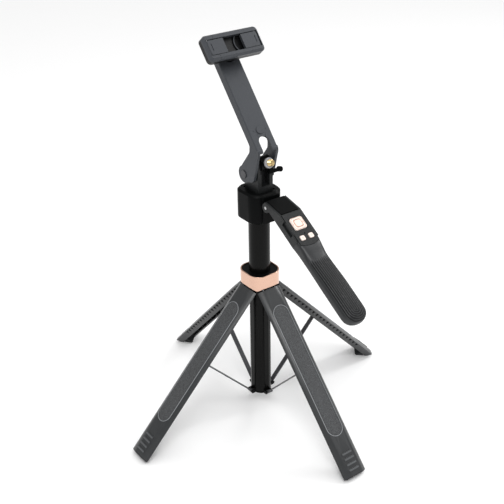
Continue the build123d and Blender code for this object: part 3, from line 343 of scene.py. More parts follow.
# --- Materials ---------------------------------------------------------------------------------
def put_group(tree, group, **values):
    node = add_node(tree, "ShaderNodeGroup")
    node.node_tree = group
    for key, value in values.items():
        node.inputs[key.replace("_", " ")].default_value = value
    return node


def rgba(colour):
    return (colour[0], colour[1], colour[2], 1.0)


def lifted(colour, factor):
    return tuple(min(1.0, part * factor) for part in colour)


def start_material(name):
    material = bpy.data.materials.new(name)
    material.use_nodes = True
    tree = material.node_tree
    return material, tree, tree.nodes["Principled BSDF"]


def add_bump(tree, shader, height, strength, distance):
    bump = add_node(tree, "ShaderNodeBump")
    bump.inputs["Strength"].default_value = strength
    bump.inputs["Distance"].default_value = distance
    tree.links.new(height, bump.inputs["Height"])
    tree.links.new(bump.outputs["Normal"], shader.inputs["Normal"])


def moulded_material(name, tint, worn, grain, rough, bump, dust=0.15, gloss=0.3):
    """Moulded plastic: grain with tint and dullness that vary, under a little handling dust."""
    material, tree, shader = start_material(name)
    skin = put_group(tree, moulded_grain_group(), Tint=rgba(tint), Worn_Tint=rgba(worn),
                     Grain_Scale=grain, Roughness_Low=rough[0], Roughness_High=rough[1])
    handling = put_group(tree, dust_group(), Amount=dust)
    colour = blended(tree, handling.outputs["Mask"], skin.outputs["Colour"], rgba(lifted(worn, 1.7)))
    tree.links.new(colour, shader.inputs["Base Color"])
    tree.links.new(skin.outputs["Roughness"], shader.inputs["Roughness"])
    shader.inputs["Specular IOR Level"].default_value = gloss
    add_bump(tree, shader, skin.outputs["Height"], 0.5, bump)
    return material


def pebbled_material(name, tint, crest_tint, cells, rough):
    """Leather-like inlay: pale crests over valleys painted darker as shade."""
    material, tree, shader = start_material(name)
    pebble = put_group(tree, pebble_group(), Cell_Scale=cells)
    skin = put_group(tree, moulded_grain_group(), Tint=rgba(tint), Worn_Tint=rgba(crest_tint),
                     Grain_Scale=3000.0, Roughness_Low=rough[0], Roughness_High=rough[1])
    # Painted shade: the valleys between the pebbles are coloured down to 0.35 of the tint
    colour = blended(tree, pebble.outputs["Crest"], rgba(lifted(tint, 0.35)), skin.outputs["Colour"])
    tree.links.new(colour, shader.inputs["Base Color"])
    tree.links.new(skin.outputs["Roughness"], shader.inputs["Roughness"])
    shader.inputs["Specular IOR Level"].default_value = 0.35
    add_bump(tree, shader, pebble.outputs["Height"], 0.8, 0.0002)
    return material


def recess_painted_shade_material(name, tint, face_point, inwards, depth):
    """Moulded plastic with painted shade: it turns black below a given depth under the plane through face_point.
    """
    material, tree, shader = start_material(name)
    skin = put_group(tree, moulded_grain_group(), Tint=rgba(tint), Worn_Tint=rgba(lifted(tint, 1.25)),
                     Grain_Scale=FINE_GRAIN, Roughness_Low=0.36, Roughness_High=0.48)
    place = add_node(tree, "ShaderNodeTexCoord").outputs["Object"]
    offset = add_node(tree, "ShaderNodeVectorMath", operation="SUBTRACT")
    offset.inputs[1].default_value = tuple(face_point)
    tree.links.new(place, offset.inputs[0])
    along = add_node(tree, "ShaderNodeVectorMath", operation="DOT_PRODUCT")
    along.inputs[1].default_value = tuple(inwards)
    tree.links.new(offset.outputs["Vector"], along.inputs[0])
    # Painted shade: deeper than the given depth the colour fades to near black, as shade inside the recess
    shade = ranged(tree, along.outputs["Value"], depth, depth * 1.15, 0.0, 1.0)
    colour = blended(tree, shade, skin.outputs["Colour"], rgba(lifted(tint, 0.06)))
    tree.links.new(colour, shader.inputs["Base Color"])
    tree.links.new(skin.outputs["Roughness"], shader.inputs["Roughness"])
    shader.inputs["Specular IOR Level"].default_value = 0.3
    add_bump(tree, shader, skin.outputs["Height"], 0.5, 6e-05)
    return material


def grooved_material(name, tint):
    """Soft rubber whose grooves, stored on its points as a valley value, are duller and painted darker as shade.
    """
    material, tree, shader = start_material(name)
    skin = put_group(tree, moulded_grain_group(), Tint=rgba(tint), Worn_Tint=rgba(lifted(tint, 1.4)),
                     Grain_Scale=3200.0, Roughness_Low=0.34, Roughness_High=0.46)
    valley = add_node(tree, "ShaderNodeAttribute", attribute_name="valley")
    # Painted shade: the groove valleys are coloured down to a tenth of the tint
    colour = blended(tree, valley.outputs["Fac"], skin.outputs["Colour"], rgba(lifted(tint, 0.1)))
    dull = ranged(tree, valley.outputs["Fac"], 0.0, 1.0, skin.outputs["Roughness"], 0.8)
    tree.links.new(colour, shader.inputs["Base Color"])
    tree.links.new(dull, shader.inputs["Roughness"])
    shader.inputs["Specular IOR Level"].default_value = 0.35
    add_bump(tree, shader, skin.outputs["Height"], 0.4, 5e-05)
    return material


def drawn_metal(name, tint, shade, squeeze, rough, metallic=1.0, gloss=0.5):
    """Metal or gloss paint over metal, with faint drawn lines in its tint and polish."""
    material, tree, shader = start_material(name)
    lines = put_group(tree, drawn_lines_group(), Squeeze=squeeze,
                      Roughness_Low=rough[0], Roughness_High=rough[1])
    handling = put_group(tree, dust_group(), Amount=0.12)
    colour = blended(tree, lines.outputs["Lines"], rgba(tint), rgba(shade))
    colour = blended(tree, handling.outputs["Mask"], colour, rgba(lifted(shade, 1.5)))
    tree.links.new(colour, shader.inputs["Base Color"])
    tree.links.new(lines.outputs["Roughness"], shader.inputs["Roughness"])
    shader.inputs["Metallic"].default_value = metallic
    shader.inputs["Specular IOR Level"].default_value = gloss
    add_bump(tree, shader, lines.outputs["Lines"], 0.15, 0.00003)
    return material


def finish_material(finish):
    """The finished material for one of the stand's finishes, made once."""
    slot = finish + "_finish"
    if slot in bpy.data.materials:
        return bpy.data.materials[slot]
    tints = bpy.context.scene.stand_tints
    along, round_about = (1.0, 1.0, 0.03), (0.05, 0.05, 1.0)
    charcoal, black, shell, pearl, gold, rubber, inlay, mast = map(tuple, (
        tints.charcoal, tints.black, tints.leg, tints.keys, tints.rose_gold, tints.rubber, tints.inlay,
        tints.mast))
    makers = {
        "charcoal_plastic": lambda: moulded_material(slot, charcoal, lifted(charcoal, 1.25), FINE_GRAIN,
                                                     (0.38, 0.5), 6e-05),
        "leg_plastic": lambda: moulded_material(slot, shell, lifted(shell, 1.3), FINE_GRAIN,
                                                (0.28, 0.38), 6e-05, gloss=0.45),
        "black_plastic": lambda: moulded_material(slot, black, lifted(black, 1.6), FINE_GRAIN, (0.3, 0.42),
                                                  5e-05, gloss=0.05),
        "shell_plastic": lambda: moulded_material(slot, lifted(black, 4.5), lifted(black, 6.0), FINE_GRAIN,
                                                  (0.32, 0.44), 5e-05, gloss=0.22),
        "foot_rubber": lambda: moulded_material(slot, rubber, lifted(rubber, 1.5), 1800.0, (0.62, 0.78),
                                                9e-05, 0.35, 0.2),
        "grip_rubber": lambda: grooved_material(slot, rubber),
        "grey_plastic": lambda: moulded_material(slot, (0.3, 0.3, 0.31), (0.38, 0.38, 0.39), FINE_GRAIN,
                                                 (0.35, 0.5), 5e-05),
        "pearl_keys": lambda: moulded_material(slot, pearl, lifted(pearl, 1.06), FINE_GRAIN,
                                               (0.25, 0.35), 2e-05, 0.0, 0.5),
        # Painted highlight: the grip bars are coloured 2.6 times paler than the leg shell
        "bar_painted_highlight": lambda: moulded_material(slot, lifted(shell, 2.6), lifted(shell, 3.2), FINE_GRAIN,
                                                (0.28, 0.38), 4e-05, gloss=0.5),
        # Painted highlight: the raised line round the inlay is coloured 2.6 times paler than the inlay
        "line_painted_highlight": lambda: moulded_material(slot, lifted(inlay, 2.6), lifted(inlay, 3.2), FINE_GRAIN,
                                                 (0.35, 0.45), 2e-05),
        "circuit_board": lambda: moulded_material(slot, (0.02, 0.16, 0.07), (0.03, 0.2, 0.1), 900.0,
                                                  (0.3, 0.4), 3e-05),
        "textured_pad": lambda: pebbled_material(slot, inlay, lifted(inlay, 1.6), 1000.0, (0.45, 0.6)),
        "gloss_black": lambda: drawn_metal(slot, mast, lifted(mast, 1.6), along, (0.16, 0.26), 0.0, 0.1),
        "rose_gold": lambda: drawn_metal(slot, gold, lifted(gold, 0.9), round_about, (0.12, 0.24)),
        "copper": lambda: drawn_metal(slot, (0.6, 0.3, 0.2), (0.45, 0.2, 0.12), (1.0, 1.0, 1.0), (0.3, 0.45)),
        "steel": lambda: drawn_metal(slot, (0.6, 0.6, 0.6), (0.45, 0.45, 0.46), along, (0.25, 0.4)),
        "black_steel": lambda: drawn_metal(slot, (0.1, 0.1, 0.105), (0.06, 0.06, 0.065), along,
                                           (0.3, 0.45), 0.7),
        "brass": lambda: drawn_metal(slot, (0.78, 0.6, 0.3), (0.6, 0.44, 0.2), round_about, (0.2, 0.34)),
    }
    return makers[finish]()


def soften_edges(piece, width, angle_deg=38.0):
    """Weld a loose-triangle mesh and round its sharp edges a little, as a mould does."""
    weld = piece.modifiers.new("weld", "WELD")
    weld.merge_threshold = 1e-6
    bevel = piece.modifiers.new("edge_radius", "BEVEL")
    bevel.width = width
    bevel.segments = 2
    bevel.limit_method = "ANGLE"
    bevel.angle_limit = math.radians(angle_deg)
    bevel.use_clamp_overlap = True
    bevel.harden_normals = True


# --- Settings ----------------------------------------------------------------------------------
def tint_property(label, default, words):
    return bpy.props.FloatVectorProperty(name=label, description=words, subtype="COLOR", size=3,
                                         min=0.0, max=1.0, default=default)


def length_property(label, default, words):
    return bpy.props.FloatProperty(name=label, description=words, default=default, min=0.0,
                                   subtype="DISTANCE", unit="LENGTH", precision=5)


class StandTints(bpy.types.PropertyGroup):
    """Colours of the stand's finishes."""
    charcoal: tint_property("Charcoal plastic", (0.04, 0.0435, 0.05), "Arm and clamp")
    leg: tint_property("Leg plastic", (0.024, 0.0255, 0.027), "Leg shells")
    black: tint_property("Black plastic", (0.0022, 0.0024, 0.0025), "Collar, hood and hub")
    inlay: tint_property("Leg inlay", (0.085, 0.088, 0.092), "Grained inlay on each leg")
    mast: tint_property("Mast", (0.0025, 0.0025, 0.0024), "Gloss black tubes")
    rose_gold: tint_property("Rose gold", (0.72, 0.47, 0.36), "Ring")
    keys: tint_property("Keys", (0.8, 0.69, 0.63), "Pearly keys of the remote")
    rubber: tint_property("Rubber", (0.016, 0.0172, 0.0185), "Grip sleeve and heels")


class GripSizes(bpy.types.PropertyGroup):
    """Sizes of the rubber grip sleeve."""
    seam_radius: length_property("Seam radius", 24.2 * MM, "Bow of the seam behind the remote")
    groove_pitch: length_property("Groove pitch", 2.1 * MM, "Distance from one groove to the next")
    groove_depth: length_property("Groove depth", 0.65 * MM, "Depth of each groove")
    groove_band: length_property("Groove band", 12.6 * MM, "How far the grooves reach round from the top")
    groove_start: length_property("Groove start", 78 * MM, "Distance from the pin to the grooves' open ends")
    end_radius: length_property("End radius", 13 * MM, "Rounding of the sleeve's end seen from the keys")


class InlaySizes(bpy.types.PropertyGroup):
    """Sizes of the leg inlays."""
    bar_below: length_property("First bar", 178.5 * MM, "From the inlay's top down to the lowest grip bar")
    bar_pitch: length_property("Bar pitch", 5.6 * MM, "From one grip bar to the next")
    bar_half: length_property("Bar half-length", 6.4 * MM, "Half of a grip bar's length")
    bar_thick: length_property("Bar half-width", 1.35 * MM, "Half of a grip bar's width")
    bar_proud: length_property("Bar height", 0.95 * MM, "Height of a grip bar over the leg's face")
    crown: length_property("Crown", 0.25 * MM, "Height of the middle over the edge")
    edge_drop: length_property("Edge drop", 0.35 * MM, "How far the inlay's edge sinks under the leg's face")
    bead: length_property("Bead", 0.34 * MM, "Radius of the raised line round the inlay")
    skin_corner: length_property("Leg corner", 13 * MM, "Corner radius of the folded leg bundle")


class ThreadSizes(bpy.types.PropertyGroup):
    """Sizes of the camera screw."""
    pitch: length_property("Pitch", 25.4 / 20 * MM, "One turn of the thread")
    depth: length_property("Depth", 0.7 * MM, "From crest to root")
    knurls: bpy.props.IntProperty(name="Knurls", description="Ridges round the ring", default=40, min=6)


class StudioLight(bpy.types.PropertyGroup):
    """Light on the stand."""
    world: bpy.props.FloatProperty(name="Room light", description="Even white light from all round",
                                   default=0.5)
    overhead: bpy.props.FloatProperty(name="Overhead", description="Strength of the even light from above",
                                      default=1.35)
    key: bpy.props.FloatProperty(name="Key", description="Power of the large light above on the left",
                                 default=12.0)
    fill: bpy.props.FloatProperty(name="Fill", description="Power of the light on the right", default=7.0)
    floor: tint_property("Floor", (0.95, 0.95, 0.95), "Plain pale floor")


# --- Operators ---------------------------------------------------------------------------------
def dress(nodes, edge=0.0, finish=None):
    """Give CAD nodes a finish, which is their slot's unless named, and a small edge radius."""
    slots = {row["node"]: row["material_slot"] for row in frame["record"]["subparts"]}
    for name in nodes:
        piece = frame["nodes"][name]
        piece.data.materials.clear()
        piece.data.materials.append(finish_material(finish or slots[name]))
        if edge:
            soften_edges(piece, edge)


class STAND_OT_mast(bpy.types.Operator):
    """Gloss black telescope, its bushings and the foot plug."""
    bl_idname = "stand.mast"
    bl_label = "Mast and sections"

    def execute(self, context):
        dress([n for n in frame["nodes"] if n.startswith(("section_tube_", "guide_bushing_"))])
        dress(("mast_tube", "mast_foot"))
        return {"FINISHED"}


class STAND_OT_hub(bpy.types.Operator):
    """Rose-gold ring, hub and hinge pins."""
    bl_idname = "stand.hub"
    bl_label = "Hub and ring"

    def execute(self, context):
        dress(("hub_core", "leg_hinge_pins"))
        dress(("hub_ring",))
        return {"FINISHED"}


class STAND_OT_legs(bpy.types.Operator):
    """Charcoal legs with rubber heels and steel struts."""
    bl_idname = "stand.legs"
    bl_label = "Legs, heels and struts"

    def execute(self, context):
        for name in LEGS:
            dress(("leg_" + name,), 0.2 * MM, "leg_plastic")
            dress(("leg_foot_" + name,), 0.2 * MM)
            dress(("strut_" + name,))
        return {"FINISHED"}


def leg_frame(name):
    """Hinge place, tangent, outward direction and fold angle of a leg."""
    place, tangent = joint_line("leg_%s_fold" % name)
    outward = np.array((place[0], place[1], 0.0))
    angle = math.radians(JOINTS["leg_%s_fold" % name]["range_deg"][1])
    return place, tangent, outward / np.linalg.norm(outward), angle


def to_folded(points, name):
    """Turn points on an open leg back to the folded leg: (outward, across, up) from the axis."""
    place, tangent, outward, angle = leg_frame(name)
    turn = np.array(Matrix.Rotation(angle, 3, Vector(tangent)))
    folded = (points - place) @ turn.T + place
    return np.stack((folded @ outward, folded @ tangent, folded[..., 2]), -1)


def to_open(points, name):
    """Turn points given on the folded leg, (outward, across, up), out to the open leg."""
    place, tangent, outward, angle = leg_frame(name)
    world = (points[..., :1] * outward + points[..., 1:2] * tangent
             + points[..., 2:] * np.array((0.0, 0.0, 1.0)))
    turn = np.array(Matrix.Rotation(-angle, 3, Vector(tangent)))
    return (world - place) @ turn.T + place


def stadium(half_width, low, high, count):
    """Closed outline of a slot shape: two straight sides and two half circles, evenly stepped."""
    straight = high - low - 2 * half_width
    total = 2 * straight + 2 * math.pi * half_width
    run = np.linspace(0.0, total, count, endpoint=False)
    arc = math.pi * half_width
    turn = np.where(run < arc, run / half_width,
                    np.where(run < arc + straight, math.pi,
                             np.where(run < 2 * arc + straight, (run - straight) / half_width, 2 * math.pi)))
    down = np.where(run < arc, 0.0,
                    np.where(run < arc + straight, run - arc,
                             np.where(run < 2 * arc + straight, straight, total - run)))
    across = half_width * np.cos(turn)
    top = high - half_width - down
    up = top + half_width * np.sin(turn)
    spine = np.stack((np.zeros(count), top), -1)
    return np.stack((across, up), -1), spine


def skin_height(across, half, corner):
    """How far out the folded bundle's rounded-square skin lies: flat, then round the corner."""
    past = np.clip(np.abs(across) - (half - corner), 0.0, corner)
    return half - corner + np.sqrt(corner ** 2 - past ** 2)


class STAND_OT_inlays(bpy.types.Operator):
    """Grained inlay on each leg, crowned in the middle, inside a fine raised line."""
    bl_idname = "stand.inlays"
    bl_label = "Leg inlays"

    def execute(self, context):
        sizes = context.scene.stand_inlays
        around = 360
        for name in LEGS:
            seat = to_folded(node_points("leg_pad_" + name), name)
            low, high = seat[:, 2].min(), seat[:, 2].max()
            half_width = seat[:, 1].max()
            half = seat[:, 0].max()
            edge, spine = stadium(half_width, low, high, around)
            # Rows from the middle line out to the edge, then under the edge and back in
            share = np.concatenate((np.linspace(0.04, 0.9, 10), (0.95, 0.985, 1.0, 1.0, 0.9)))
            lift = np.concatenate((sizes.crown * (1 - np.linspace(0.04, 0.9, 10) ** 2),
                                   (sizes.crown * 0.06, 0.0, -sizes.edge_drop, -2 * sizes.edge_drop,
                                    -2 * sizes.edge_drop)))
            flat = spine[None] + share[:, None, None] * (edge - spine)[None]
            out = skin_height(flat[..., 0], half, sizes.skin_corner) - sizes.crown + lift[:, None]
            rings = to_open(np.stack((out, flat[..., 0], flat[..., 1]), -1), name)
            points, faces = closed_rings(rings)
            make_piece("inlay_" + name, points, faces, finish_material("textured_pad"),
                       "leg_%s_body" % name, "leg_pad_" + name)
            self.bead(name, half_width, low, high, half, sizes)
            for index in range(GRIP_BARS):
                self.grip_bar(name, index, high, half, sizes)
        return {"FINISHED"}

    def grip_bar(self, name, index, high, half, sizes):
        """Domed pill lying across the leg's face, coloured paler as a painted highlight: rows of a slot outline,
        each drawn in and raised.
        """
        outline, spine = stadium(sizes.bar_thick, -sizes.bar_half, sizes.bar_half, 64)
        rise = np.linspace(0.0, math.pi / 2, 7)[:-1]
        share = np.concatenate(((1.0,), np.cos(rise)[1:], (0.06,)))
        lift = np.concatenate(((-1.2 * MM,), sizes.bar_proud * np.sin(rise)[1:], (sizes.bar_proud,)))
        flat = spine[None] + share[:, None, None] * (outline - spine)[None]
        up = high - sizes.bar_below + index * sizes.bar_pitch + flat[..., 0]
        out = skin_height(flat[..., 1], half, sizes.skin_corner) - sizes.crown + lift[:, None]
        points, faces = closed_rings(to_open(np.stack((out, flat[..., 1], up), -1), name))
        make_piece("grip_bar_%s_%d" % (name, index), points, faces, finish_material("bar_painted_highlight"),
                   "leg_%s_body" % name, smooth_deg=60.0)

    def bead(self, name, half_width, low, high, half, sizes):
        """Raised line: a small round section carried along the inlay's outline, coloured paler as a painted
        highlight.
        """
        around, section = 360, 10
        away = 2.4 * sizes.bead
        path, spine = stadium(half_width + away, low - away, high + away, around)
        outward = (path - spine) / np.linalg.norm(path - spine, axis=1)[:, None]
        turn = np.linspace(0.0, 2 * math.pi, section, endpoint=False)
        flat = path[:, None] + sizes.bead * np.cos(turn)[None, :, None] * outward[:, None]
        out = (skin_height(flat[..., 0], half, sizes.skin_corner) - sizes.crown * 0.6
               + 0.7 * sizes.bead * np.sin(turn)[None])
        rings = to_open(np.stack((out, flat[..., 0], flat[..., 1]), -1), name)
        make_piece("inlay_line_" + name, rings, tube_faces(around, section), finish_material("line_painted_highlight"),
                   "leg_%s_body" % name)


class STAND_OT_head(bpy.types.Operator):
    """Collar, bracket block, arm with its button, and their pins."""
    bl_idname = "stand.head"
    bl_label = "Head and arm"

    def execute(self, context):
        dress(("collar", "arm_channel"), 0.3 * MM)
        dress(("bracket_block",), 0.3 * MM, "shell_plastic")
        dress(("swivel_base", "arm_pin", "barrel_pin", "handle_pin", "arm_button", "tilt_barrel"))
        return {"FINISHED"}


class STAND_OT_clamp(bpy.types.Operator):
    """Phone clamp: frame, drawing end, jaws, rods, spring and back cover."""
    bl_idname = "stand.clamp"
    bl_label = "Phone clamp"

    def execute(self, context):
        # The clamp's frame faces along its swivel axis, and painted shade turns its window black inside
        face, outwards = joint_line("clamp_swivel")
        tint = tuple(context.scene.stand_tints.charcoal)
        recess_painted_shade_material("clamp_finish", tint, face, -outwards, WINDOW_SHADE_DEPTH)
        dress(("clamp_frame", "clamp_slider"), 0.5 * MM, "clamp")
        dress(("jaw_left", "jaw_right"), 0.25 * MM)
        dress(("clamp_back", "clamp_rods", "clamp_spring", "jaw_pin_left", "jaw_pin_right"))
        return {"FINISHED"}


class STAND_OT_camera_screw(bpy.types.Operator):
    """Threaded stud and knurled ring of the camera screw."""
    bl_idname = "stand.camera_screw"
    bl_label = "Camera screw"

    def execute(self, context):
        sizes = context.scene.stand_thread
        origin, axis = joint_line("screw_turn")
        self.stud(origin, axis, sizes)
        self.ring(origin, axis, sizes)
        return {"FINISHED"}

    def stud(self, origin, axis, sizes):
        """Thread: radius falls and rises in a V once a turn while moving on by one pitch."""
        low, high = reach("camera_screw", origin, axis)
        ring_low = reach("screw_ring", origin, axis)[0]
        side, other = round_frame(axis)
        offsets = node_points("camera_screw") - origin
        radius = np.linalg.norm(offsets - np.outer(offsets @ axis, axis), axis=1).max()
        turn = np.linspace(0.0, 2 * math.pi, 48, endpoint=False)
        along = np.concatenate(((low,), np.linspace(ring_low, high - 0.02 * sizes.pitch, 96), (high,) * 4))
        phase = (along[:, None] / sizes.pitch - turn[None] / (2 * math.pi)) % 1.0
        valley = 1.0 - np.abs(2.0 * phase - 1.0)
        rows = radius - sizes.depth * np.clip(1.25 * valley - 0.12, 0.0, 1.0)
        shank = (along < ring_low)[:, None]
        rows = np.where(shank, radius - sizes.depth, rows)
        tip = radius - 0.9 * np.clip(along - (high - 0.9 * MM), 0.0, None)
        rows = np.minimum(rows, tip[:, None])
        # Turned centre mark in the stud's end
        for row, (share, sink) in enumerate(((0.62, 0.0), (0.4, 0.0), (0.3, 0.35 * MM), (0.05, 0.5 * MM))):
            rows[-4 + row] = radius * share
            along[-4 + row] = high - sink
        rings = (origin + along[:, None, None] * axis
                 + rows[..., None] * (np.cos(turn)[:, None] * side + np.sin(turn)[:, None] * other))
        points, faces = closed_rings(rings)
        make_piece("threaded_stud", points, faces, finish_material("brass"), "screw",
                   "camera_screw", 30.0)

    def ring(self, origin, axis, sizes):
        """Knurled ring: a closed profile turned round, its rim scalloped by a cosine."""
        low, high = reach("screw_ring", origin, axis)
        side, other = round_frame(axis)
        offsets = node_points("screw_ring") - origin
        radial = np.linalg.norm(offsets - np.outer(offsets @ axis, axis), axis=1)
        outer, inner = radial.max(), radial.min()
        turn = np.linspace(0.0, 2 * math.pi, sizes.knurls * 6, endpoint=False)
        soft = 0.5 * MM
        near_rim = outer - 0.15 * soft
        profile = np.array(((inner, low), (outer - soft, low), (near_rim, low + 0.3 * soft),
                            (outer, low + soft), (outer, high - soft), (near_rim, high - 0.3 * soft),
                            (outer - soft, high), (inner + 1.6 * soft, high),
                            (inner + soft, high - 0.4 * soft), (inner, high - 0.4 * soft)))
        scallop = 0.22 * MM * (0.5 - 0.5 * np.cos(turn * sizes.knurls))
        on_rim = np.clip((profile[:, 0] - (outer - soft)) / soft, 0.0, 1.0)
        radius = profile[:, :1] - on_rim[:, None] * scallop[None]
        rings = (origin + profile[:, 1][:, None, None] * axis
                 + radius[..., None] * (np.cos(turn)[:, None] * side + np.sin(turn)[:, None] * other))
        make_piece("knurled_ring", rings, tube_faces(*rings.shape[:2]), finish_material("grey_plastic"),
                   "screw", "screw_ring", 50.0)


class STAND_OT_handle(bpy.types.Operator):
    """Handle shell, hood and the remote with its keys."""
    bl_idname = "stand.handle"
    bl_label = "Handle and remote"

    def execute(self, context):
        dress(("handle_hood",), 0.3 * MM)
        dress(("handle_body", "remote_case"), 0.3 * MM, "shell_plastic")
        dress(("nav_pad", "ok_button", "key_left", "key_right"), 0.2 * MM, "pearl_keys")
        dress(("remote_board", "coin_cell"))
        return {"FINISHED"}


class STAND_OT_grip(bpy.types.Operator):
    """Rubber sleeve with nested U grooves over the handle's end."""
    bl_idname = "stand.grip"
    bl_label = "Grip sleeve"

    def execute(self, context):
        sizes = context.scene.stand_grip
        pin, down, out = handle_axes()
        start, end = reach("rubber_grip", pin, down)
        low, high = reach("rubber_grip", pin, out)
        half = (node_points("rubber_grip") - pin)[:, 0].max()
        floor_q = reach("remote_case", pin, out)[0] - 0.2 * MM
        remote_half = (node_points("remote_case") - pin)[:, 0].max() + 0.2 * MM
        remote_end = reach("remote_case", pin, down)[1]
        panel_q = reach("remote_case", pin, out)[1]
        around, seam_row = 360, 8
        turn = np.linspace(0.0, 2 * math.pi, around, endpoint=False) + math.pi / 2
        waist = np.linspace(0.0, 1.0, 26)[1:] * 22 * MM
        straight = np.linspace(0.0, 1.0, 16)[1:]
        tail_start = end - 20 * MM
        tail = np.sin(np.linspace(0.0, math.pi / 2, 96)[1:])
        # Base stations; the first rows are then bent to the bowed seam
        first = start + np.linspace(0.0, 1.0, seam_row) * (remote_end + 0.2 * MM - start)
        base = np.concatenate((first, (first[-1] + 0.12 * MM,), first[-1] + 0.12 * MM + waist))
        base = np.concatenate((base, base[-1] + straight * (tail_start - base[-1]),
                               tail_start + tail * (end - tail_start - 0.02 * MM)))
        station = base[:, None]
        # Section: superellipse, boxy by the seam and round further down, lower and upper half apart
        upper_power = 5.5 - 2.9 * smooth_step(remote_end, remote_end + 16 * MM, station)
        lower_power = 3.4 - 0.6 * smooth_step(remote_end, remote_end + 40 * MM, station)
        dip = 1.0 * MM * smooth_step(remote_end, remote_end + 12 * MM, station)
        rise = 1.7 * MM * smooth_step(remote_end + 12 * MM, remote_end + 50 * MM, station)
        top = np.minimum(panel_q - dip + rise, high)
        waist_in = 0.7 * MM * (smooth_step(start, remote_end + 8 * MM, station)
                               - smooth_step(remote_end + 16 * MM, remote_end + 44 * MM, station))
        plan_t = np.clip((station - (end - sizes.end_radius)) / sizes.end_radius, 0.0, 1.0)
        side_r = 8.5 * MM
        side_t = np.clip((station - (end - side_r)) / side_r, 0.0, 1.0)
        width = (half - waist_in) * np.sqrt(1.0 - plan_t ** 2.3)
        middle = 4.6 * MM + 0.6 * MM * smooth_step(remote_end, end, station)
        shrink = np.sqrt(1.0 - side_t ** 2.3)
        up, below = (top - middle) * shrink, (middle - low) * shrink
        sine, cosine = np.sin(turn)[None], np.cos(turn)[None]
        power = np.where(sine >= 0, upper_power, lower_power)
        x = width * np.sign(cosine) * np.abs(cosine) ** (2.0 / power)
        q = middle + np.where(sine >= 0, up, below) * np.sign(sine) * np.abs(sine) ** (2.0 / power)
        # The seam bows: stations near it move back towards the hinge away from the middle
        bow = sizes.seam_radius - np.sqrt(sizes.seam_radius ** 2 - np.minimum(np.abs(x), half) ** 2)
        towards_start = np.clip((base - start) / (first[-1] - start), 0.0, 1.0)
        fade = towards_start * (1.0 - smooth_step(remote_end, remote_end + 30 * MM, base))
        s = station - bow * fade[:, None]
        # Room for the remote: rows before the seam drop to the cradle's floor
        in_cradle = (np.arange(len(base)) < seam_row)[:, None] & (np.abs(x) < remote_half) & (q > floor_q)
        q = np.where(in_cradle, floor_q, q)
        x, s, q, valley = self.grooves(x, s, q, sizes, base)
        points, faces = closed_rings(on_handle(x, s, q))
        sleeve = make_piece("grip_sleeve", points, faces, finish_material("grip_rubber"), "handle",
                            "rubber_grip", 50.0)
        # The valley values drive the grooves' duller roughness and their painted shade in the material
        layer = sleeve.data.attributes.new("valley", "FLOAT", "POINT")
        layer.data.foreach_set("value", valley.ravel().astype(np.float32))
        return {"FINISHED"}

    def grooves(self, x, s, q, sizes, base):
        """Sink nested U grooves: depth follows a cosine of the distance to the top's spine line."""
        place = np.stack((x, s, q), -1)
        round_step = np.linalg.norm(np.roll(place, -1, 1) - place, axis=2)
        walked = np.concatenate((np.zeros((len(x), 1)), np.cumsum(round_step[:, :-1], 1)), 1)
        total = round_step.sum(1, keepdims=True)
        arc = np.minimum(walked, total - walked)
        top_line = place[:, 0]
        run = np.concatenate(((0.0,), np.cumsum(np.linalg.norm(np.diff(top_line, axis=0), axis=1)))) + base[0]
        spine_end = run[-1] - 15.5 * MM
        past = np.clip(run - spine_end, 0.0, None)[:, None]
        distance = np.hypot(arc, past)
        wave = 0.5 - 0.5 * np.cos(2 * math.pi * distance / sizes.groove_pitch)
        valley = np.clip(1.3 * wave - 0.3, 0.0, 1.0)
        band = 1.0 - smooth_step(sizes.groove_band, sizes.groove_band + 0.5 * MM, distance)
        opening = smooth_step(sizes.groove_start, sizes.groove_start + 5 * MM, run)[:, None]
        valley = valley * band * opening
        depth = sizes.groove_depth * valley
        d_round = np.roll(place, -1, 1) - np.roll(place, 1, 1)
        d_along = np.gradient(place, axis=0)
        normal = np.cross(d_round, d_along)
        normal /= np.maximum(np.linalg.norm(normal, axis=2, keepdims=True), 1e-12)
        middle = place.mean(1, keepdims=True)
        outward = np.sign(np.einsum("ijk,ijk->ij", normal, place - middle))[..., None]
        place = place - normal * outward * depth[..., None]
        return place[..., 0], place[..., 1], place[..., 2], valley


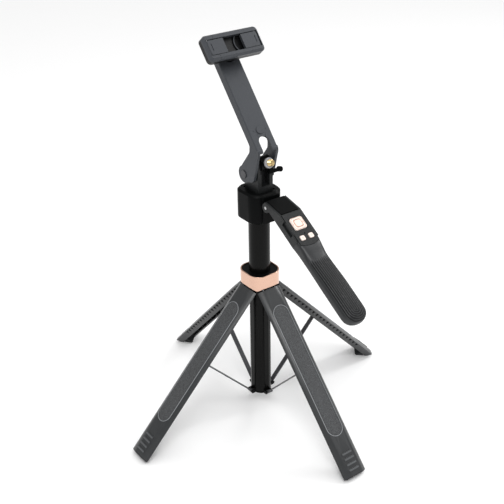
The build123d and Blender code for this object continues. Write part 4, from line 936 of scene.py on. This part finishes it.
class STAND_OT_key_marks(bpy.types.Operator):
    """Small plain marks on the keys and thin lines round the middle button and its pad."""
    bl_idname = "stand.key_marks"
    bl_label = "Key marks"

    def execute(self, context):
        pin, down, out = handle_axes()
        copper = finish_material("copper")
        nav_top = reach("nav_pad", pin, out)[1]
        nav_s = sum(reach("nav_pad", pin, down)) / 2
        button = reach("ok_button", pin, down)
        half = (button[1] - button[0]) / 2
        self.square("button_line", nav_s, nav_top, half + 0.45 * MM, 0.3 * MM, copper, "nav")
        edge = reach("nav_pad", pin, down)
        self.square("pad_line", nav_s, nav_top, (edge[1] - edge[0]) / 2 - 0.5 * MM, 0.16 * MM, copper, "nav")
        self.bar("mark_minus", -5.5 * MM, nav_s, nav_top, 0.7 * MM, 0.14 * MM, copper, "nav")
        self.cross("mark_plus", 5.5 * MM, nav_s, nav_top, 0.7 * MM, 0.14 * MM, copper, "nav")
        for name, side in (("left", -1), ("right", 1)):
            top = reach("key_" + name, pin, out)[1]
            place = sum(reach("key_" + name, pin, down)) / 2
            x = (node_points("key_" + name) - pin)[:, 0].mean()
            self.ring("mark_key_" + name, x, place, top, 0.75 * MM, 0.1 * MM, copper, name + "_key")
        return {"FINISHED"}

    def ring(self, name, x, s, q, radius, thick, material, body):
        """Torus lying in a key's face."""
        self.line(name, x, s, q, radius, thick, 1.0, 48, material, body)

    def square(self, name, s, q, half, thick, material, body):
        """Thin line round a rounded square lying in a key's face."""
        self.line(name, 0.0, s, q, half, thick, 2.0 / SQUARE_POWER, 96, material, body)

    def line(self, name, x, s, q, half, thick, power, steps, material, body):
        """Flattened tube along a superellipse: x and s are cosine and sine, each raised to a power."""
        turn = np.linspace(0.0, 2 * math.pi, steps, endpoint=False)[:, None]
        tube = np.linspace(0.0, 2 * math.pi, LINE_SIDES, endpoint=False)[None]
        far = half + thick * np.cos(tube)
        across = far * np.sign(np.cos(turn)) * np.abs(np.cos(turn)) ** power
        along = far * np.sign(np.sin(turn)) * np.abs(np.sin(turn)) ** power
        points = on_handle(x + across, s + along, q + LINE_FLATNESS * thick * np.sin(tube) + 0 * turn)
        make_piece(name, points, tube_faces(steps, LINE_SIDES), material, body,
                   smooth_deg=60.0)

    def bar(self, name, x, s, q, half, thick, material, body, along=False):
        """Low pill: a stadium outline raised over a key's face and drawn in at its top."""
        outline, spine = stadium(thick, -half, half, 24)
        rows = []
        for share, height in ((1.0, -0.05 * MM), (1.0, 0.02 * MM), (0.6, 0.05 * MM)):
            flat = spine + share * (outline - spine)
            one, two = (flat[:, 0], flat[:, 1]) if along else (flat[:, 1], flat[:, 0])
            rows.append(on_handle(x + one, s + two, q + height + 0 * one))
        points, faces = closed_rings(np.stack(rows))
        make_piece(name, points, faces, material, body, smooth_deg=30.0)

    def cross(self, name, x, s, q, half, thick, material, body):
        self.bar(name + "_across", x, s, q, half, thick, material, body)
        self.bar(name + "_along", x, s, q, half, thick, material, body, True)


class STAND_OT_stage(bpy.types.Operator):
    """Pale floor, soft lights and the camera."""
    bl_idname = "stand.stage"
    bl_label = "Stage"

    def execute(self, context):
        light = context.scene.stand_light
        self.floor(light)
        self.lamps(light)
        self.camera()
        world = bpy.data.worlds.new("room")
        world.use_nodes = True
        world.node_tree.nodes["Background"].inputs["Color"].default_value = (1.0, 1.0, 1.0, 1.0)
        world.node_tree.nodes["Background"].inputs["Strength"].default_value = light.world
        context.scene.world = world
        context.scene.view_settings.view_transform = "Standard"
        return {"FINISHED"}

    def floor(self, light):
        mesh = bpy.data.meshes.new("floor")
        half = 4.0
        corners = [(-half, -half, 0), (half, -half, 0), (half, half, 0), (-half, half, 0)]
        mesh.from_pydata(corners, [], [(0, 1, 2, 3)])
        material, _, shader = start_material("pale_floor")
        shader.inputs["Base Color"].default_value = rgba(tuple(light.floor))
        shader.inputs["Roughness"].default_value = 0.9
        mesh.materials.append(material)
        floor = bpy.data.objects.new("floor", mesh)
        floor.location.z = cad_box[0].z - 0.0002
        bpy.context.scene.collection.objects.link(floor)

    def lamps(self, light):
        centre = (cad_box[0] + cad_box[1]) / 2
        places = (("key", "AREA", Vector((-0.7, -0.9, 1.6)), 0.8, light.key),
                  ("fill", "AREA", Vector((1.3, -0.2, 1.2)), 0.5, light.fill),
                  ("overhead", "SUN", Vector((0.2, -0.3, 2.4)), 1.8, light.overhead))
        for name, kind, place, size, power in places:
            data = bpy.data.lights.new(name, kind)
            if kind == "AREA":
                data.shape = "DISK"
                data.size = size
            else:
                data.angle = size
            data.energy = power
            lamp = bpy.data.objects.new(name, data)
            lamp.location = place
            lamp.rotation_euler = (centre - place).to_track_quat("-Z", "Y").to_euler()
            bpy.context.scene.collection.objects.link(lamp)

    def camera(self):
        """Camera looking a little down at the stand, from in front and to its left."""
        data = bpy.data.cameras.new("camera")
        data.sensor_width = 36.0
        data.lens = 63.81
        data.shift_x, data.shift_y = -0.0148, -0.0022
        camera = bpy.data.objects.new("camera", data)
        azimuth, elevation, roll = map(math.radians, (CAMERA_AZIMUTH, CAMERA_ELEVATION, CAMERA_ROLL))
        back = Vector((math.sin(azimuth) * math.cos(elevation), -math.cos(azimuth) * math.cos(elevation),
                       math.sin(elevation)))
        right = Vector((math.cos(azimuth), math.sin(azimuth), 0.0))
        up = back.cross(right)
        tilted_right = right * math.cos(roll) + up * math.sin(roll)
        tilted_up = up * math.cos(roll) - right * math.sin(roll)
        turn = Matrix((tilted_right, tilted_up, back)).transposed()
        place = Vector((0, 0, CAMERA_TARGET_HEIGHT)) + CAMERA_DISTANCE * back
        camera.matrix_world = Matrix.Translation(place) @ turn.to_4x4()
        bpy.context.scene.collection.objects.link(camera)
        bpy.context.scene.camera = camera


STEPS = (STAND_OT_mast, STAND_OT_hub, STAND_OT_legs, STAND_OT_inlays, STAND_OT_head, STAND_OT_clamp,
         STAND_OT_camera_screw, STAND_OT_handle, STAND_OT_grip, STAND_OT_key_marks, STAND_OT_stage)
SETTINGS = (("stand_tints", StandTints), ("stand_grip", GripSizes), ("stand_inlays", InlaySizes),
            ("stand_thread", ThreadSizes), ("stand_light", StudioLight))


class STAND_PT_panel(bpy.types.Panel):
    """Lists the stand's steps."""
    bl_idname = "STAND_PT_panel"
    bl_label = "Selfie Stick Stand"
    bl_space_type = "VIEW_3D"
    bl_region_type = "UI"
    bl_category = "Stand"

    def draw(self, context):
        for step in STEPS:
            self.layout.operator(step.bl_idname)
        for attribute, group in SETTINGS:
            box = self.layout.box()
            settings = getattr(context.scene, attribute)
            for key in group.__annotations__:
                box.prop(settings, key)


def register():
    for attribute, group in SETTINGS:
        bpy.utils.register_class(group)
        setattr(bpy.types.Scene, attribute, bpy.props.PointerProperty(type=group))
    for step in STEPS:
        bpy.utils.register_class(step)
    bpy.utils.register_class(STAND_PT_panel)


def unregister():
    bpy.utils.unregister_class(STAND_PT_panel)
    for step in reversed(STEPS):
        bpy.utils.unregister_class(step)
    for attribute, group in reversed(SETTINGS):
        delattr(bpy.types.Scene, attribute)
        bpy.utils.unregister_class(group)


def call(step):
    """Run one operator by its name, as a button would."""
    section, name = step.bl_idname.split(".")
    getattr(getattr(bpy.ops, section), name)()


def main():
    register()
    for step in STEPS:
        call(step)


if __name__ == "__main__":
    main()
